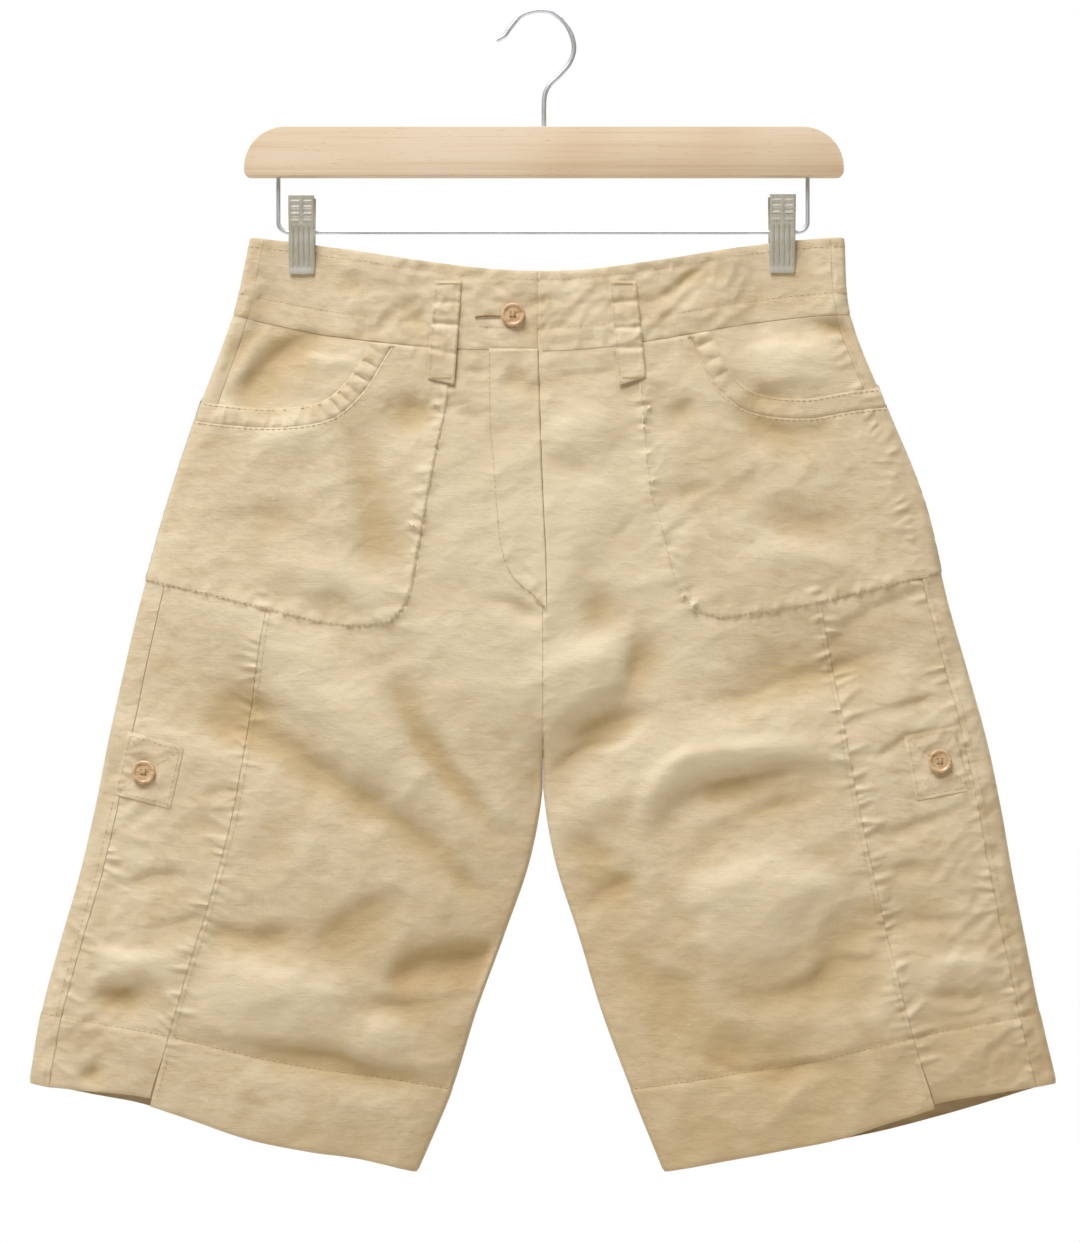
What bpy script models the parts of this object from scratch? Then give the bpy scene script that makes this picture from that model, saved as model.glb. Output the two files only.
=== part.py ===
"""Linen bermuda shorts hung flat by the waistband from a wooden clip hanger.

Sizes are millimetres, turned to metres as meshes are made. +Z is up, the front faces -Y and +X is the
wearer's left. The origin is the inside top of the hook's crook, where the hanger rests on a rail.
"""

import functools
import math
from collections import namedtuple

import bmesh
import bpy
import numpy as np
from mathutils import Matrix

MM = 0.001
RIGHT, LEFT = -1, 1
HALVES = ((RIGHT, "_right"), (LEFT, "_left"))

# Cloth: the wall, the layers sewn on it, and how round the body is
SEAM_GAP = 0.3
WALL = 1.4
LAYER = 1.0
FOLD_RADIUS = 2.6
HIP_FULLNESS = 0.62
LEG_FULLNESS = 0.6
FULL_FOLD_DEPTH = 8.0

# Where a clip holds the waistband: half its thickness there, and how far it stays flat and then opens
CLIPPED_DEPTH = 1.6
CLIPPED_Z = -150
CLIPPED_ACROSS, CLIPPED_ACROSS_FADE = 13, 24
CLIPPED_DOWN, CLIPPED_DOWN_FADE = 24, 60

# The body of the shorts, waist to hem. A row runs from the centre front or inseam to the side fold.
# z_outer and z_inner are its heights at the side fold and at the centre; sag is how far down from the
# outer to the inner height it lies half way across; outer and inner are distances from the centre line;
# depth is how far the front stands off the middle plane.
Section = namedtuple(
    "Section", "z_outer z_inner sag_right sag_left outer_right outer_left inner_right inner_left depth"
)
SECTIONS = (
    Section(-143, -164.5, 0.58, 0.50, 186, 191.5, 0, 0, 8),
    Section(-192, -215.5, 0.78, 0.50, 197, 195.5, 0, 0, 10),
    Section(-246, -271, 0.64, 0.45, 216.5, 216, 0, 0, 13),
    Section(-309, -338, 0.56, 0.50, 237.5, 241.5, 0, 0, 15.5),
    Section(-373, -401.5, 0.53, 0.50, 255.5, 257, 0, 0, 16.5),
    Section(-417, -446, 0.51, 0.50, 266, 269.5, 0, 0, 16.5),
    Section(-462, -490.5, 0.50, 0.50, 276, 282, 0, 0, 16),
    Section(-505, -538, 0.50, 0.50, 284.5, 291, 8.2, 7.5, 16),
    Section(-548, -585.5, 0.50, 0.50, 294.5, 298.5, 24.5, 22.5, 16),
    Section(-591.5, -633.5, 0.50, 0.50, 307, 307, 42, 37, 16),
    Section(-634.5, -683, 0.52, 0.52, 318.5, 315.5, 57.5, 55.5, 15.5),
    Section(-679.5, -736, 0.50, 0.50, 326, 326, 80, 77, 15),
)
LAST_ROW = len(SECTIONS) - 1
WAIST_SEAM_ROW = 1
POCKET_HEM_ROW = 3.75
LEG_START_ROW, CROTCH_ROW = 4.7, 6

# How far the hem dips below a straight line, at even steps from the inseam to the side fold
HemDip = namedtuple("HemDip", "front_right front_left back_right back_left")
HEM_DIPS = (
    HemDip(0, 0, 0, 0),
    HemDip(-0.6, 1.0, 2.0, 3.5),
    HemDip(1.9, 2.2, 4.9, 5.5),
    HemDip(2.7, 3.2, 5.8, 6.8),
    HemDip(-1.2, 0, 2.3, 7.4),
    HemDip(-4.4, -3.0, -1.2, 6.1),
    HemDip(-2.1, -2.0, -0.2, 3.4),
    HemDip(0, 0, 0, 0),
)
HEM_DIP_ROW = 9

# Columns of the wall, as shares of a row's width at the waist and in the leg
Column = namedtuple("Column", "waist leg")
FRONT_COLUMNS = (
    Column(0.10, 0.09),
    Column(0.20, 0.18),
    Column(0.30, 0.27),
    Column(0.40, 0.36),
    Column(0.50, 0.45),
    Column(0.60, 0.54),
    Column(0.69, 0.615),
    Column(0.75, 0.685),
    Column(0.82, 0.775),
    Column(0.89, 0.865),
    Column(0.952, 0.946),
)
PANEL_SEAM, SIDE_SEAM = 7, 10
BACK_COLUMNS = (
    Column(0.885, 0.88),
    Column(0.75, 0.76),
    Column(0.62, 0.62),
    Column(0.48, 0.48),
    Column(0.36, 0.36),
    Column(0.24, 0.24),
    Column(0.12, 0.12),
)
NOSE_COLUMNS = (0.7, 3.4)
BAND_ROWS = (0, 0.26, 0.52, 0.76, 1)
BODY_ROWS_PER_SECTION = 2.2
VENT_RISE = {RIGHT: 4.8, LEFT: 2.4}
FRONT_REACH = 60

# Largest folds: the line of each from (x0, z0) through (x1, z1) to (x2, z2), how wide it is and how far
# it stands out, or lies in where height is negative.
Fold = namedtuple("Fold", "x0 z0 x1 z1 x2 z2 width height")
FRONT_FOLDS = (
    Fold(-224, -373, -150, -415, -50, -505, 26, 4.0),
    Fold(-236, -425, -165, -455, -45, -530, 22, -3.5),
    Fold(-94, -400, -70, -455, -30, -540, 20, -3.0),
    Fold(-115, -597, -80, -606, -40, -598, 24, -3.5),
    Fold(-205, -577, -160, -586, -115, -577, 20, -2.5),
    Fold(-200, -660, -135, -670, -70, -680, 15, -2.5),
    Fold(48, -525, 75, -475, 190, -460, 26, 4.0),
    Fold(5, -485, 30, -458, 70, -445, 18, -3.0),
    Fold(95, -440, 150, -420, 225, -405, 20, -3.5),
    Fold(160, -605, 195, -585, 250, -578, 22, -3.0),
    Fold(32, -540, 65, -610, 150, -665, 26, -3.0),
    Fold(100, -535, 130, -570, 160, -590, 30, 3.0),
    Fold(-190, -240, -172, -215, -135, -210, 14, -2.0),
    Fold(120, -215, 155, -226, 192, -238, 16, 2.0),
    Fold(17, -420, 15, -330, 36, -262, 22, 2.0),
)
BACK_FOLDS = (
    Fold(210, -380, 130, -430, 40, -500, 26, 4.0),
    Fold(225, -440, 140, -480, 50, -540, 22, -3.5),
    Fold(-215, -400, -120, -440, -45, -505, 26, 4.0),
    Fold(-240, -470, -150, -500, -60, -560, 22, -3.5),
    Fold(-120, -600, -180, -620, -240, -610, 24, -3.0),
    Fold(110, -620, 170, -605, 230, -620, 24, -3.0),
    Fold(-60, -290, -110, -270, -170, -300, 24, 2.5),
    Fold(60, -300, 120, -280, 180, -310, 24, 2.5),
)

# What lies on the panels, as (x, z)
POCKET_EDGE = {
    RIGHT: ((-58, -205), (-60.5, -246), (-67, -277), (-75, -321), (-80, -349), (-84.5, -371), (-95.5, -386),
            (-113, -390), (-137, -388.5), (-170, -381), (-213.5, -370), (-262, -359)),
    LEFT: ((58, -205), (61.5, -248), (66, -299), (73.5, -327), (78.5, -347), (83, -362), (94, -378.5),
           (112, -384.5), (129, -383), (173, -375.5), (216.5, -365), (264, -353)),
}
POCKET_MOUTH = {
    RIGHT: ((-88, -200), (-101, -221), (-114, -241.5), (-133.5, -258), (-162.5, -263.7), (-201, -262),
            (-240, -256)),
    LEFT: ((88, -196), (100, -220), (112.5, -241), (132.5, -254), (165.5, -258), (198.5, -253), (240, -248)),
}
MOUTH_BAND = 12.5
FLY_EDGE = ((-3, -190), (-2.8, -214), (-1.3, -276), (0, -309), (1.7, -344), (2.3, -378))
FLY_STITCH = ((-7.5, -366), (-19.5, -358.5), (-28, -335), (-29, -304), (-33.5, -259), (-34, -190))
GUARD = {"left": -37, "right": 12, "bottom": -369}
TABS = {
    RIGHT: ((-262.5, -456), (-226.5, -466), (-235.5, -505), (-272, -496)),
    LEFT: ((228, -459), (261.5, -453), (273, -493), (235.5, -500)),
}
Loop = namedtuple("Loop", "name front x_top x_bottom width")
BELT_LOOPS = (
    Loop("belt_loop_front_right", True, -60, -64.5, 17),
    Loop("belt_loop_front_left", True, 50.5, 56.5, 17),
    Loop("belt_loop_back_right", False, -96, -102, 15),
    Loop("belt_loop_back_centre", False, 0, 0, 15),
    Loop("belt_loop_back_left", False, 96, 102, 15),
)
LOOP_TOP, LOOP_BOTTOM = -171, -235
LOOP_THICKNESS, LOOP_ARCH = 1.6, 1.3

Button = namedtuple("Button", "name half x z lift")
BUTTON_PROFILE = ((0, 0), (5.6, 0), (7.0, 0.6), (7.5, 1.4), (7.2, 2.2), (6.4, 2.5), (5.6, 2.2), (5.0, 1.7), (0, 1.6))
BUTTON_SIDES, BUTTON_STAND = 18, 0.35
BUTTON_HOLE_RADIUS, BUTTON_HOLE_CIRCLE = 0.8, 1.9
BUTTONS = (
    Button("waist_button", RIGHT, -19, -192.5, SEAM_GAP),
    Button("tab_button_right", RIGHT, -252, -482, LAYER + 2 * SEAM_GAP),
    Button("tab_button_left", LEFT, 250.5, -475, LAYER + 2 * SEAM_GAP),
)

# Hanger
BAR_LENGTH, BAR_HEIGHT, BAR_DEPTH = 380, 31.3, 14
BAR_CENTRE_X, BAR_TOP = 0.6, -73
BAR_SHOULDER = 26
BAR_ROUNDING, BAR_BEVEL_HEIGHT = 2.5, 5
HOOK_RADIUS, HOOK_SOCKET = 1.5, 16
HOOK_ROUTE = ((-29.5, -17.3), (-24.6, -14.6), (-20.8, -9.4), (-14.6, -2.2), (-8.2, 0.6), (-1.2, 1.5),
              (6.0, 0.2), (13.2, -5.4), (18, -13.6), (19.7, -23), (16.8, -32), (10.5, -39.6), (4.0, -46),
              (1.2, -52), (0.6, -60), (0.6, -68), (0.6, BAR_TOP - HOOK_SOCKET + 0.5))
RAIL_RADIUS, RAIL_Z, RAIL_HALF, RAIL_BEND, RAIL_SOCKET = 1.3, -139.3, 168.1, 6.4, 9
SOCKET_CLEARANCE = 0.3

Clip = namedtuple("Clip", "name x top")
CLIPS = (Clip("clip_right", -153, -117), Clip("clip_left", 151.8, -116.2))
CLIP_WIDTH, CLIP_SHEET = 16.5, 1.0
# The inside of a jaw from the side: how far it stands off the middle plane, and how far below its top
JAW_PROFILE = ((9.0, 0), (8.2, 8), (5.2, 20), (4.6, 30), (2.8, 41), (CLIPPED_DEPTH + SEAM_GAP, 45),
               (CLIPPED_DEPTH + SEAM_GAP, 49.2))
EAR_TIP, EAR_ROOT, EAR_HALF_HEIGHT, EAR_GAP = 3.0, 6.2, 4.5, 0.4
SPRING_OUTER, SPRING_GROOVE, SPRING_INNER, SPRING_LENGTH = 3.0, 2.5, 1.6, 9

LINEN = (0.61, 0.49, 0.314, 1)
HORN = (0.61, 0.40, 0.205, 1)
BEECH = (0.745, 0.558, 0.376, 1)
NICKEL = (0.50, 0.48, 0.43, 1)


def clear_scene():
    for obj in list(bpy.data.objects):
        bpy.data.objects.remove(obj, do_unlink=True)


def finish_object(name, mesh, colour, roughness, metallic=0.0):
    """An object in the scene with its own material."""
    material = bpy.data.materials.new(name)
    material.use_nodes = True
    shader = material.node_tree.nodes["Principled BSDF"]
    shader.inputs["Base Color"].default_value = colour
    shader.inputs["Roughness"].default_value = roughness
    shader.inputs["Metallic"].default_value = metallic
    mesh.materials.append(material)
    obj = bpy.data.objects.new(name, mesh)
    bpy.context.scene.collection.objects.link(obj)
    return obj


def cloth_object(name, bm):
    return finish_object(name, mesh_of(name, bm), LINEN, 0.85)


def helper_object(name, bm):
    """A hidden body that others are cut or joined with."""
    helper = bpy.data.objects.new(name, mesh_of(name, bm))
    bpy.context.scene.collection.objects.link(helper)
    helper.hide_render = True
    helper.display_type = "WIRE"
    return helper


def combine(obj, helper, operation):
    modifier = obj.modifiers.new(helper.name, "BOOLEAN")
    modifier.operation = operation
    modifier.solver = "EXACT"
    modifier.object = helper


def extruded(outline, vec):
    """A bmesh of an outline's face extruded along a vector."""
    bm = bmesh.new()
    face = bm.faces.new([bm.verts.new(point) for point in outline])
    grown = bmesh.ops.extrude_face_region(bm, geom=[face])
    verts = [vert for vert in grown["geom"] if isinstance(vert, bmesh.types.BMVert)]
    bmesh.ops.translate(bm, vec=vec, verts=verts)
    return bm


def mesh_of(name, bm):
    """A mesh in metres from a bmesh in millimetres, shaded smooth but for its sharp edges."""
    bmesh.ops.recalc_face_normals(bm, faces=bm.faces)
    bmesh.ops.scale(bm, vec=(MM, MM, MM), verts=bm.verts)
    mesh = bpy.data.meshes.new(name)
    bm.to_mesh(mesh)
    bm.free()
    mesh.shade_smooth()
    mesh.set_sharp_from_angle(angle=math.radians(40))
    return mesh


# Curves and the form of the cloth


def catmull_rom(points, share):
    """The point at a share of the way along a smooth curve through points."""
    points = np.asarray(points, float)
    place = min(max(share, 0), 1) * (len(points) - 1)
    start = min(int(place), len(points) - 2)
    t = place - start
    before = points[start - 1] if start else 2 * points[0] - points[1]
    after = points[start + 2] if start + 2 < len(points) else 2 * points[-1] - points[-2]
    here, there = points[start], points[start + 1]
    return here + 0.5 * t * (
        there - before + t * (2 * before - 5 * here + 4 * there - after + t * (3 * (here - there) + after - before))
    )


def smooth_curve(points, steps):
    return [catmull_rom(points, step / steps) for step in range(steps + 1)]


def smooth_step(low, high, value):
    t = min(max((value - low) / (high - low), 0), 1)
    return t * t * (3 - 2 * t)


def plateau(distance, flat, fade):
    """1 as far as flat from a place, and down to 0 over fade."""
    return 1 - smooth_step(flat, flat + fade, abs(distance))


@functools.lru_cache(maxsize=None)
def fold_line(fold):
    """Points along a fold's curve, evenly spaced in its parameter."""
    share = np.linspace(0, 1, 13)[:, None]
    start, middle, end = np.reshape(fold[:6], (3, 2))
    bend = 2 * middle - 0.5 * (start + end)
    return (1 - share) ** 2 * start + 2 * share * (1 - share) * bend + share**2 * end


def fold_height(folds, x, z):
    """How far all the folds together stand out at (x, z)."""
    total = 0.0
    for fold in folds:
        line = fold_line(fold)
        away = np.hypot(line[:, 0] - x, line[:, 1] - z)
        nearest = int(away.argmin())
        along = nearest / (len(line) - 1)
        swell = math.sin(math.pi * (0.15 + 0.7 * along))
        total += fold.height * swell * math.exp(-((away[nearest] / fold.width) ** 2))
    return total


def nose(distance):
    """Rise of a fold's round edge at a distance in from it, up to 1 at the fold's radius."""
    return math.sqrt(max(1 - max(1 - distance / FOLD_RADIUS, 0) ** 2, 0))


@functools.lru_cache(maxsize=None)
def section_at(row):
    return Section(*catmull_rom(SECTIONS, row / LAST_ROW))


def hem_dip(half, front, share, row):
    """How far the lowest rows hang down, more or less, across the leg."""
    if row <= HEM_DIP_ROW:
        return 0.0
    dip = HemDip(*catmull_rom(HEM_DIPS, share))
    right, left = (dip.front_right, dip.front_left) if front else (dip.back_right, dip.back_left)
    return (right if half == RIGHT else left) * smooth_step(HEM_DIP_ROW, LAST_ROW, row)


def skin_point(half, girth, row):
    """A point of the outer face of one half of the shorts.

    girth runs from 0 at the centre front or inseam through 1 at the side fold to 2 at the centre back or
    inseam, and row from 0 at the waist to LAST_ROW at the hem.
    """
    section = section_at(row)
    front = girth <= 1
    share = (1 - math.cos(math.pi * (girth if front else 2 - girth))) / 2
    sag, outer, inner = (
        (section.sag_right, section.outer_right, section.inner_right)
        if half == RIGHT
        else (section.sag_left, section.outer_left, section.inner_left)
    )
    inner = max(inner, SEAM_GAP / 2)
    leg = smooth_step(LEG_START_ROW, CROTCH_ROW, row)
    rise = 1 - sag
    hip_line = (8 * rise - 1) * share**2 + (2 - 8 * rise) * share**3
    leg_line = (4 * rise - 1) * share + (2 - 4 * rise) * share**2
    z = section.z_inner + (section.z_outer - section.z_inner) * ((1 - leg) * hip_line + leg * leg_line)
    z -= hem_dip(half, front, share, row)
    width = outer - inner
    side = nose(width * (1 - share))
    crown = section.depth - FOLD_RADIUS
    hip = FOLD_RADIUS * side + crown * (1 - share**2) ** HIP_FULLNESS
    tube = FOLD_RADIUS * min(side, nose(width * share)) + crown * (4 * share * (1 - share)) ** LEG_FULLNESS
    off = (1 - leg) * hip + leg * tube
    x = half * (inner + width * share)
    folds = fold_height(FRONT_FOLDS if front else BACK_FOLDS, x, z)
    off += folds * min(off / FULL_FOLD_DEPTH, 1) * smooth_step(WAIST_SEAM_ROW, WAIST_SEAM_ROW + 0.5, row)
    for clip in CLIPS:
        grip = plateau(x - clip.x, CLIPPED_ACROSS, CLIPPED_ACROSS_FADE)
        grip *= plateau(z - CLIPPED_Z, CLIPPED_DOWN, CLIPPED_DOWN_FADE)
        off += (CLIPPED_DEPTH - off) * grip
    off = max(off, SEAM_GAP / 2 if share < 0.5 else 0)
    return np.array([x, -off if front else off, z])


def skin_normal(half, girth, row):
    """The outward direction at a point of the skin."""
    step = 0.006
    leg = smooth_step(LEG_START_ROW, CROTCH_ROW, row)
    if girth in (0, 2):
        facing = np.array([-half * leg, -(1 - leg) if girth == 0 else 1 - leg, 0.0])
        return facing / np.linalg.norm(facing)
    low, high = max(girth - step, 0), min(girth + step, 2)
    across = skin_point(half, high, row) - skin_point(half, low, row)
    down = skin_point(half, girth, min(row + step, LAST_ROW)) - skin_point(half, girth, max(row - step, 0))
    facing = -half * np.cross(across, down)
    return facing / np.linalg.norm(facing)


def girth_of(share, front):
    girth = math.acos(1 - 2 * min(max(share, 0), 1)) / math.pi
    return girth if front else 2 - girth


def row_width(half, row):
    section = section_at(row)
    return section.outer_right - section.inner_right if half == RIGHT else section.outer_left - section.inner_left


@functools.lru_cache(maxsize=None)
def column_girths(half, row):
    """The girth of each column of the wall at a row."""
    width = row_width(half, row)
    settle = smooth_step(WAIST_SEAM_ROW, POCKET_HEM_ROW, row)
    noses = [distance / width for distance in NOSE_COLUMNS]
    front = [column.waist + (column.leg - column.waist) * settle for column in FRONT_COLUMNS]
    back = [column.waist + (column.leg - column.waist) * settle for column in BACK_COLUMNS]
    girths = [girth_of(share, True) for share in (0, *noses, *front, *(1 - nose for nose in reversed(noses)), 1)]
    girths += [girth_of(share, False) for share in (*(1 - nose for nose in noses), *back, *reversed(noses), 0)]
    return girths


NOSES = len(NOSE_COLUMNS)
PANEL_COLUMN = NOSES + 1 + PANEL_SEAM
SIDE_COLUMN = NOSES + 1 + SIDE_SEAM
LAST_COLUMN = 2 * (2 * NOSES + 1) + len(FRONT_COLUMNS) + len(BACK_COLUMNS)


def body_rows():
    """Rows of the wall below the waistband, with one on the line where the side panels start."""
    count = round((LAST_ROW - WAIST_SEAM_ROW) * BODY_ROWS_PER_SECTION)
    rows = [WAIST_SEAM_ROW + (LAST_ROW - WAIST_SEAM_ROW) * step / count for step in range(count + 1)]
    nearest = min(range(len(rows)), key=lambda place: abs(rows[place] - POCKET_HEM_ROW))
    rows[nearest] = POCKET_HEM_ROW
    return rows, nearest


def row_height(row):
    """How many millimetres of height one row takes at the side fold."""
    above, below = max(row - 0.5, 0), min(row + 0.5, LAST_ROW)
    return (section_at(above).z_outer - section_at(below).z_outer) / (below - above)


# Building walls


def corners_of(cells):
    return {corner for row, column in cells
            for corner in ((row, column), (row + 1, column), (row + 1, column + 1), (row, column + 1))}


def seam_shift(inside, row, column):
    """Which way a node moves, by rows and columns, to leave half a seam's gap round its piece."""
    above_left, above_right = inside(row - 1, column - 1), inside(row - 1, column)
    below_left, below_right = inside(row, column - 1), inside(row, column)
    rights, lefts = above_right + below_right, above_left + below_left
    lowers, uppers = below_left + below_right, above_left + above_right
    return (lowers > uppers) - (lowers < uppers), (rights > lefts) - (rights < lefts)


def sheet_bmesh(outer, inner, cells):
    """A closed wall: triangles over cells of the outer points, extruded to the inner points."""
    bm = bmesh.new()
    target = bm.verts.layers.float_vector.new("target")
    verts = {}
    for corner in sorted(corners_of(cells)):
        verts[corner] = bm.verts.new(outer[corner])
        verts[corner][target] = inner[corner]
    for row, column in sorted(cells):
        a, b = verts[row, column], verts[row + 1, column]
        c, d = verts[row + 1, column + 1], verts[row, column + 1]
        bm.faces.new((a, b, c))
        bm.faces.new((a, c, d))
    grown = bmesh.ops.extrude_face_region(bm, geom=bm.faces[:], use_keep_orig=True)
    for vert in grown["geom"]:
        if isinstance(vert, bmesh.types.BMVert):
            vert.co = vert[target]
    return bm


def wall_piece(name, half, rows, owns):
    """One panel: the cells that owns(row, column) picks, with its seam gaps, as a wall WALL thick."""
    cells = {(row, column) for row in range(len(rows) - 1) for column in range(LAST_COLUMN) if owns(row, column)}

    def inside(row, column):
        return int((row, column) in cells)

    outer, inner = {}, {}
    for row, column in corners_of(cells):
        down, across = seam_shift(inside, row, column)
        ends = rows[row] in (0, LAST_ROW)
        place = rows[row] if ends else rows[row] + down * SEAM_GAP / 2 / row_height(rows[row])
        girth = column_girths(half, place)[column]
        if column not in (0, LAST_COLUMN) and across:
            share = (1 - math.cos(math.pi * girth)) / 2
            turn = across if girth < 1 else -across
            girth = girth_of(share + turn * SEAM_GAP / 2 / row_width(half, place), girth < 1)
        point, facing = skin_point(half, girth, place), skin_normal(half, girth, place)
        if name.startswith("side") and rows[row] == LAST_ROW:
            point[2] += VENT_RISE[half] * (SIDE_COLUMN - column) / (SIDE_COLUMN - PANEL_COLUMN)
        outer[row, column] = point
        inner[row, column] = point - WALL * facing
    return cloth_object(name, sheet_bmesh(outer, inner, cells))


def make_panels(half, suffix):
    rows, pocket_row = body_rows()

    def front(row, column):
        return column < (SIDE_COLUMN if row < pocket_row else PANEL_COLUMN)

    def side(row, column):
        return row >= pocket_row and PANEL_COLUMN <= column < SIDE_COLUMN

    wall_piece("front" + suffix, half, rows, front)
    wall_piece("side" + suffix, half, rows, side)
    wall_piece("back" + suffix, half, rows, lambda row, column: column >= SIDE_COLUMN)
    wall_piece("waistband_front" + suffix, half, BAND_ROWS, lambda row, column: column < SIDE_COLUMN)
    wall_piece("waistband_back" + suffix, half, BAND_ROWS, lambda row, column: column >= SIDE_COLUMN)


def lifted_grid(halves, rows, columns, lift, thickness):
    """A layer that follows the panels' own triangles at a lift, across one half or both."""
    outer, inner, across = {}, {}, 0
    for half in halves:
        order = reversed(columns) if half == RIGHT and len(halves) == 2 else columns
        for column in order:
            for row, place in enumerate(rows):
                girth = column_girths(half, place)[column]
                point, facing = skin_point(half, girth, place), skin_normal(half, girth, place)
                outer[row, across] = point + (lift + thickness) * facing
                inner[row, across] = point + lift * facing
            across += 1
    cells = {(row, column) for row in range(len(rows) - 1) for column in range(across - 1)}
    return sheet_bmesh(outer, inner, cells)


def patch(name, grid, outline):
    """A sewn-on layer of the front: the part of a lifted grid inside an (x, z) outline."""
    obj = cloth_object(name, grid)
    cutter = extruded([(x, -FRONT_REACH, z) for x, z in outline], (0, FRONT_REACH, 0))
    combine(obj, helper_object(name + "_outline", cutter), "INTERSECT")


def offset_curve(points, distance):
    """Points moved sideways by a distance, to the left of the way they run."""
    points = np.asarray(points, float)
    along = np.gradient(points, axis=0)
    along /= np.linalg.norm(along, axis=1)[:, None]
    return points + distance * np.column_stack([-along[:, 1], along[:, 0]])


def make_pocket(half, suffix):
    rows, _ = body_rows()
    rows = [rows[0] + 0.006, *(row for row in rows[1:] if row < 5)]
    columns = range(0, SIDE_COLUMN + 1)
    mouth = smooth_curve(POCKET_MOUTH[half], 18)
    edge = smooth_curve(POCKET_EDGE[half], 26)
    upward = -half
    lower = offset_curve(mouth, upward * -SEAM_GAP)
    upper = offset_curve(mouth, upward * -MOUTH_BAND)
    below = offset_curve(mouth, upward * SEAM_GAP / 2)
    band_outline = [*lower, *reversed(upper)]
    pocket_outline = [*below, *reversed(edge)]
    patch("pocket" + suffix, lifted_grid([half], rows, columns, SEAM_GAP, LAYER), pocket_outline)
    patch("pocket_band" + suffix, lifted_grid([half], rows, columns, SEAM_GAP, LAYER), band_outline)


def make_fly():
    body, _ = body_rows()
    rows = [body[0] + 0.006, *(row for row in body[1:] if row < 4.7)]
    outline = [*smooth_curve(FLY_EDGE, 8), *smooth_curve(FLY_STITCH, 14)]
    patch("fly", lifted_grid([RIGHT, LEFT], rows, range(0, 8), SEAM_GAP, LAYER), outline)
    guard_rows = [*BAND_ROWS[:-1], *(row for row in body if row < 4.7)]
    left, right, bottom = GUARD["left"], GUARD["right"], GUARD["bottom"]
    guard_outline = [(left, -150), (right, -150), (right, bottom), (left, bottom)]
    patch("fly_guard", lifted_grid([RIGHT, LEFT], guard_rows, range(0, 8), -WALL - SEAM_GAP - LAYER, LAYER), guard_outline)


def make_tab(half, suffix):
    rows = [row for row in body_rows()[0] if 5 < row < 8]
    columns = range(PANEL_COLUMN, SIDE_COLUMN + NOSES + 1)
    patch("tab" + suffix, lifted_grid([half], rows, columns, SEAM_GAP, LAYER), TABS[half])


def locate(half, x, z, front=True):
    """The girth and row of the skin at (x, z)."""
    share = 0.5
    for _ in range(12):
        low, high = 0.0, float(LAST_ROW)
        for _ in range(24):
            row = (low + high) / 2
            if skin_point(half, girth_of(share, front), row)[2] > z:
                low = row
            else:
                high = row
        here = skin_point(half, girth_of(share, front), row)[0]
        share = min(max(share + (abs(x) - abs(here)) / row_width(half, row), 0.0005), 0.9995)
    return girth_of(share, front), row


def make_belt_loop(loop):
    """A strip that stands off the band in the middle and is sewn down at both ends."""
    steps = 8
    outer, inner = {}, {}
    for step in range(steps + 1):
        down = step / steps
        x = loop.x_top + (loop.x_bottom - loop.x_top) * down
        z = LOOP_TOP + (LOOP_BOTTOM - LOOP_TOP) * down
        over_pocket = (LAYER + SEAM_GAP) * smooth_step(0.5, 0.75, down)
        lift = 2 * SEAM_GAP + over_pocket + LOOP_ARCH * math.sin(math.pi * down)
        for place, aside in enumerate((-0.5, 0, 0.5)):
            across = x + aside * loop.width
            half = RIGHT if across < 0 else LEFT
            girth, row = locate(half, across, z, loop.front)
            point, facing = skin_point(half, girth, row), skin_normal(half, girth, row)
            inner[step, place] = point + lift * facing
            outer[step, place] = point + (lift + LOOP_THICKNESS) * facing
    cells = {(row, column) for row in range(steps) for column in range(2)}
    cloth_object(loop.name, sheet_bmesh(outer, inner, cells))


def turned(profile, sides):
    """A closed turned body round Z from (radius, height) points that start and end on the axis."""
    bm = bmesh.new()
    verts = [bm.verts.new((radius, 0, height)) for radius, height in profile]
    edges = [bm.edges.new(pair) for pair in zip(verts, verts[1:])]
    bmesh.ops.spin(bm, geom=verts + edges, cent=(0, 0, 0), axis=(0, 0, 1), angle=2 * math.pi, steps=sides,
                   use_merge=True)
    bmesh.ops.remove_doubles(bm, verts=bm.verts, dist=0.001)
    return bm


def make_button(button):
    """A sunk disc with a rolled rim and four holes, lying on the cloth."""
    girth, row = locate(button.half, button.x, button.z)
    point, facing = skin_point(button.half, girth, row), skin_normal(button.half, girth, row)
    place = Matrix.Translation(((point + (button.lift + BUTTON_STAND) * facing) * MM).tolist())
    turn = Matrix(np.column_stack(button_axes(facing)).tolist()).to_4x4()
    obj = finish_object(button.name, mesh_of(button.name, turned(BUTTON_PROFILE, BUTTON_SIDES)), HORN, 0.45)
    obj.matrix_world = place @ turn
    holes = bmesh.new()
    for corner in range(4):
        angle = math.radians(45 + 90 * corner)
        at = (BUTTON_HOLE_CIRCLE * math.cos(angle), BUTTON_HOLE_CIRCLE * math.sin(angle), 1)
        bmesh.ops.create_cone(holes, cap_ends=True, segments=6, radius1=BUTTON_HOLE_RADIUS,
                              radius2=BUTTON_HOLE_RADIUS, depth=6, matrix=Matrix.Translation(at))
    cutter = helper_object(button.name + "_holes", holes)
    cutter.parent = obj
    combine(obj, cutter, "DIFFERENCE")


def button_axes(facing):
    side = np.cross([0, 0, 1], facing)
    side /= np.linalg.norm(side)
    return side, np.cross(facing, side), facing


# Hanger


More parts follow.
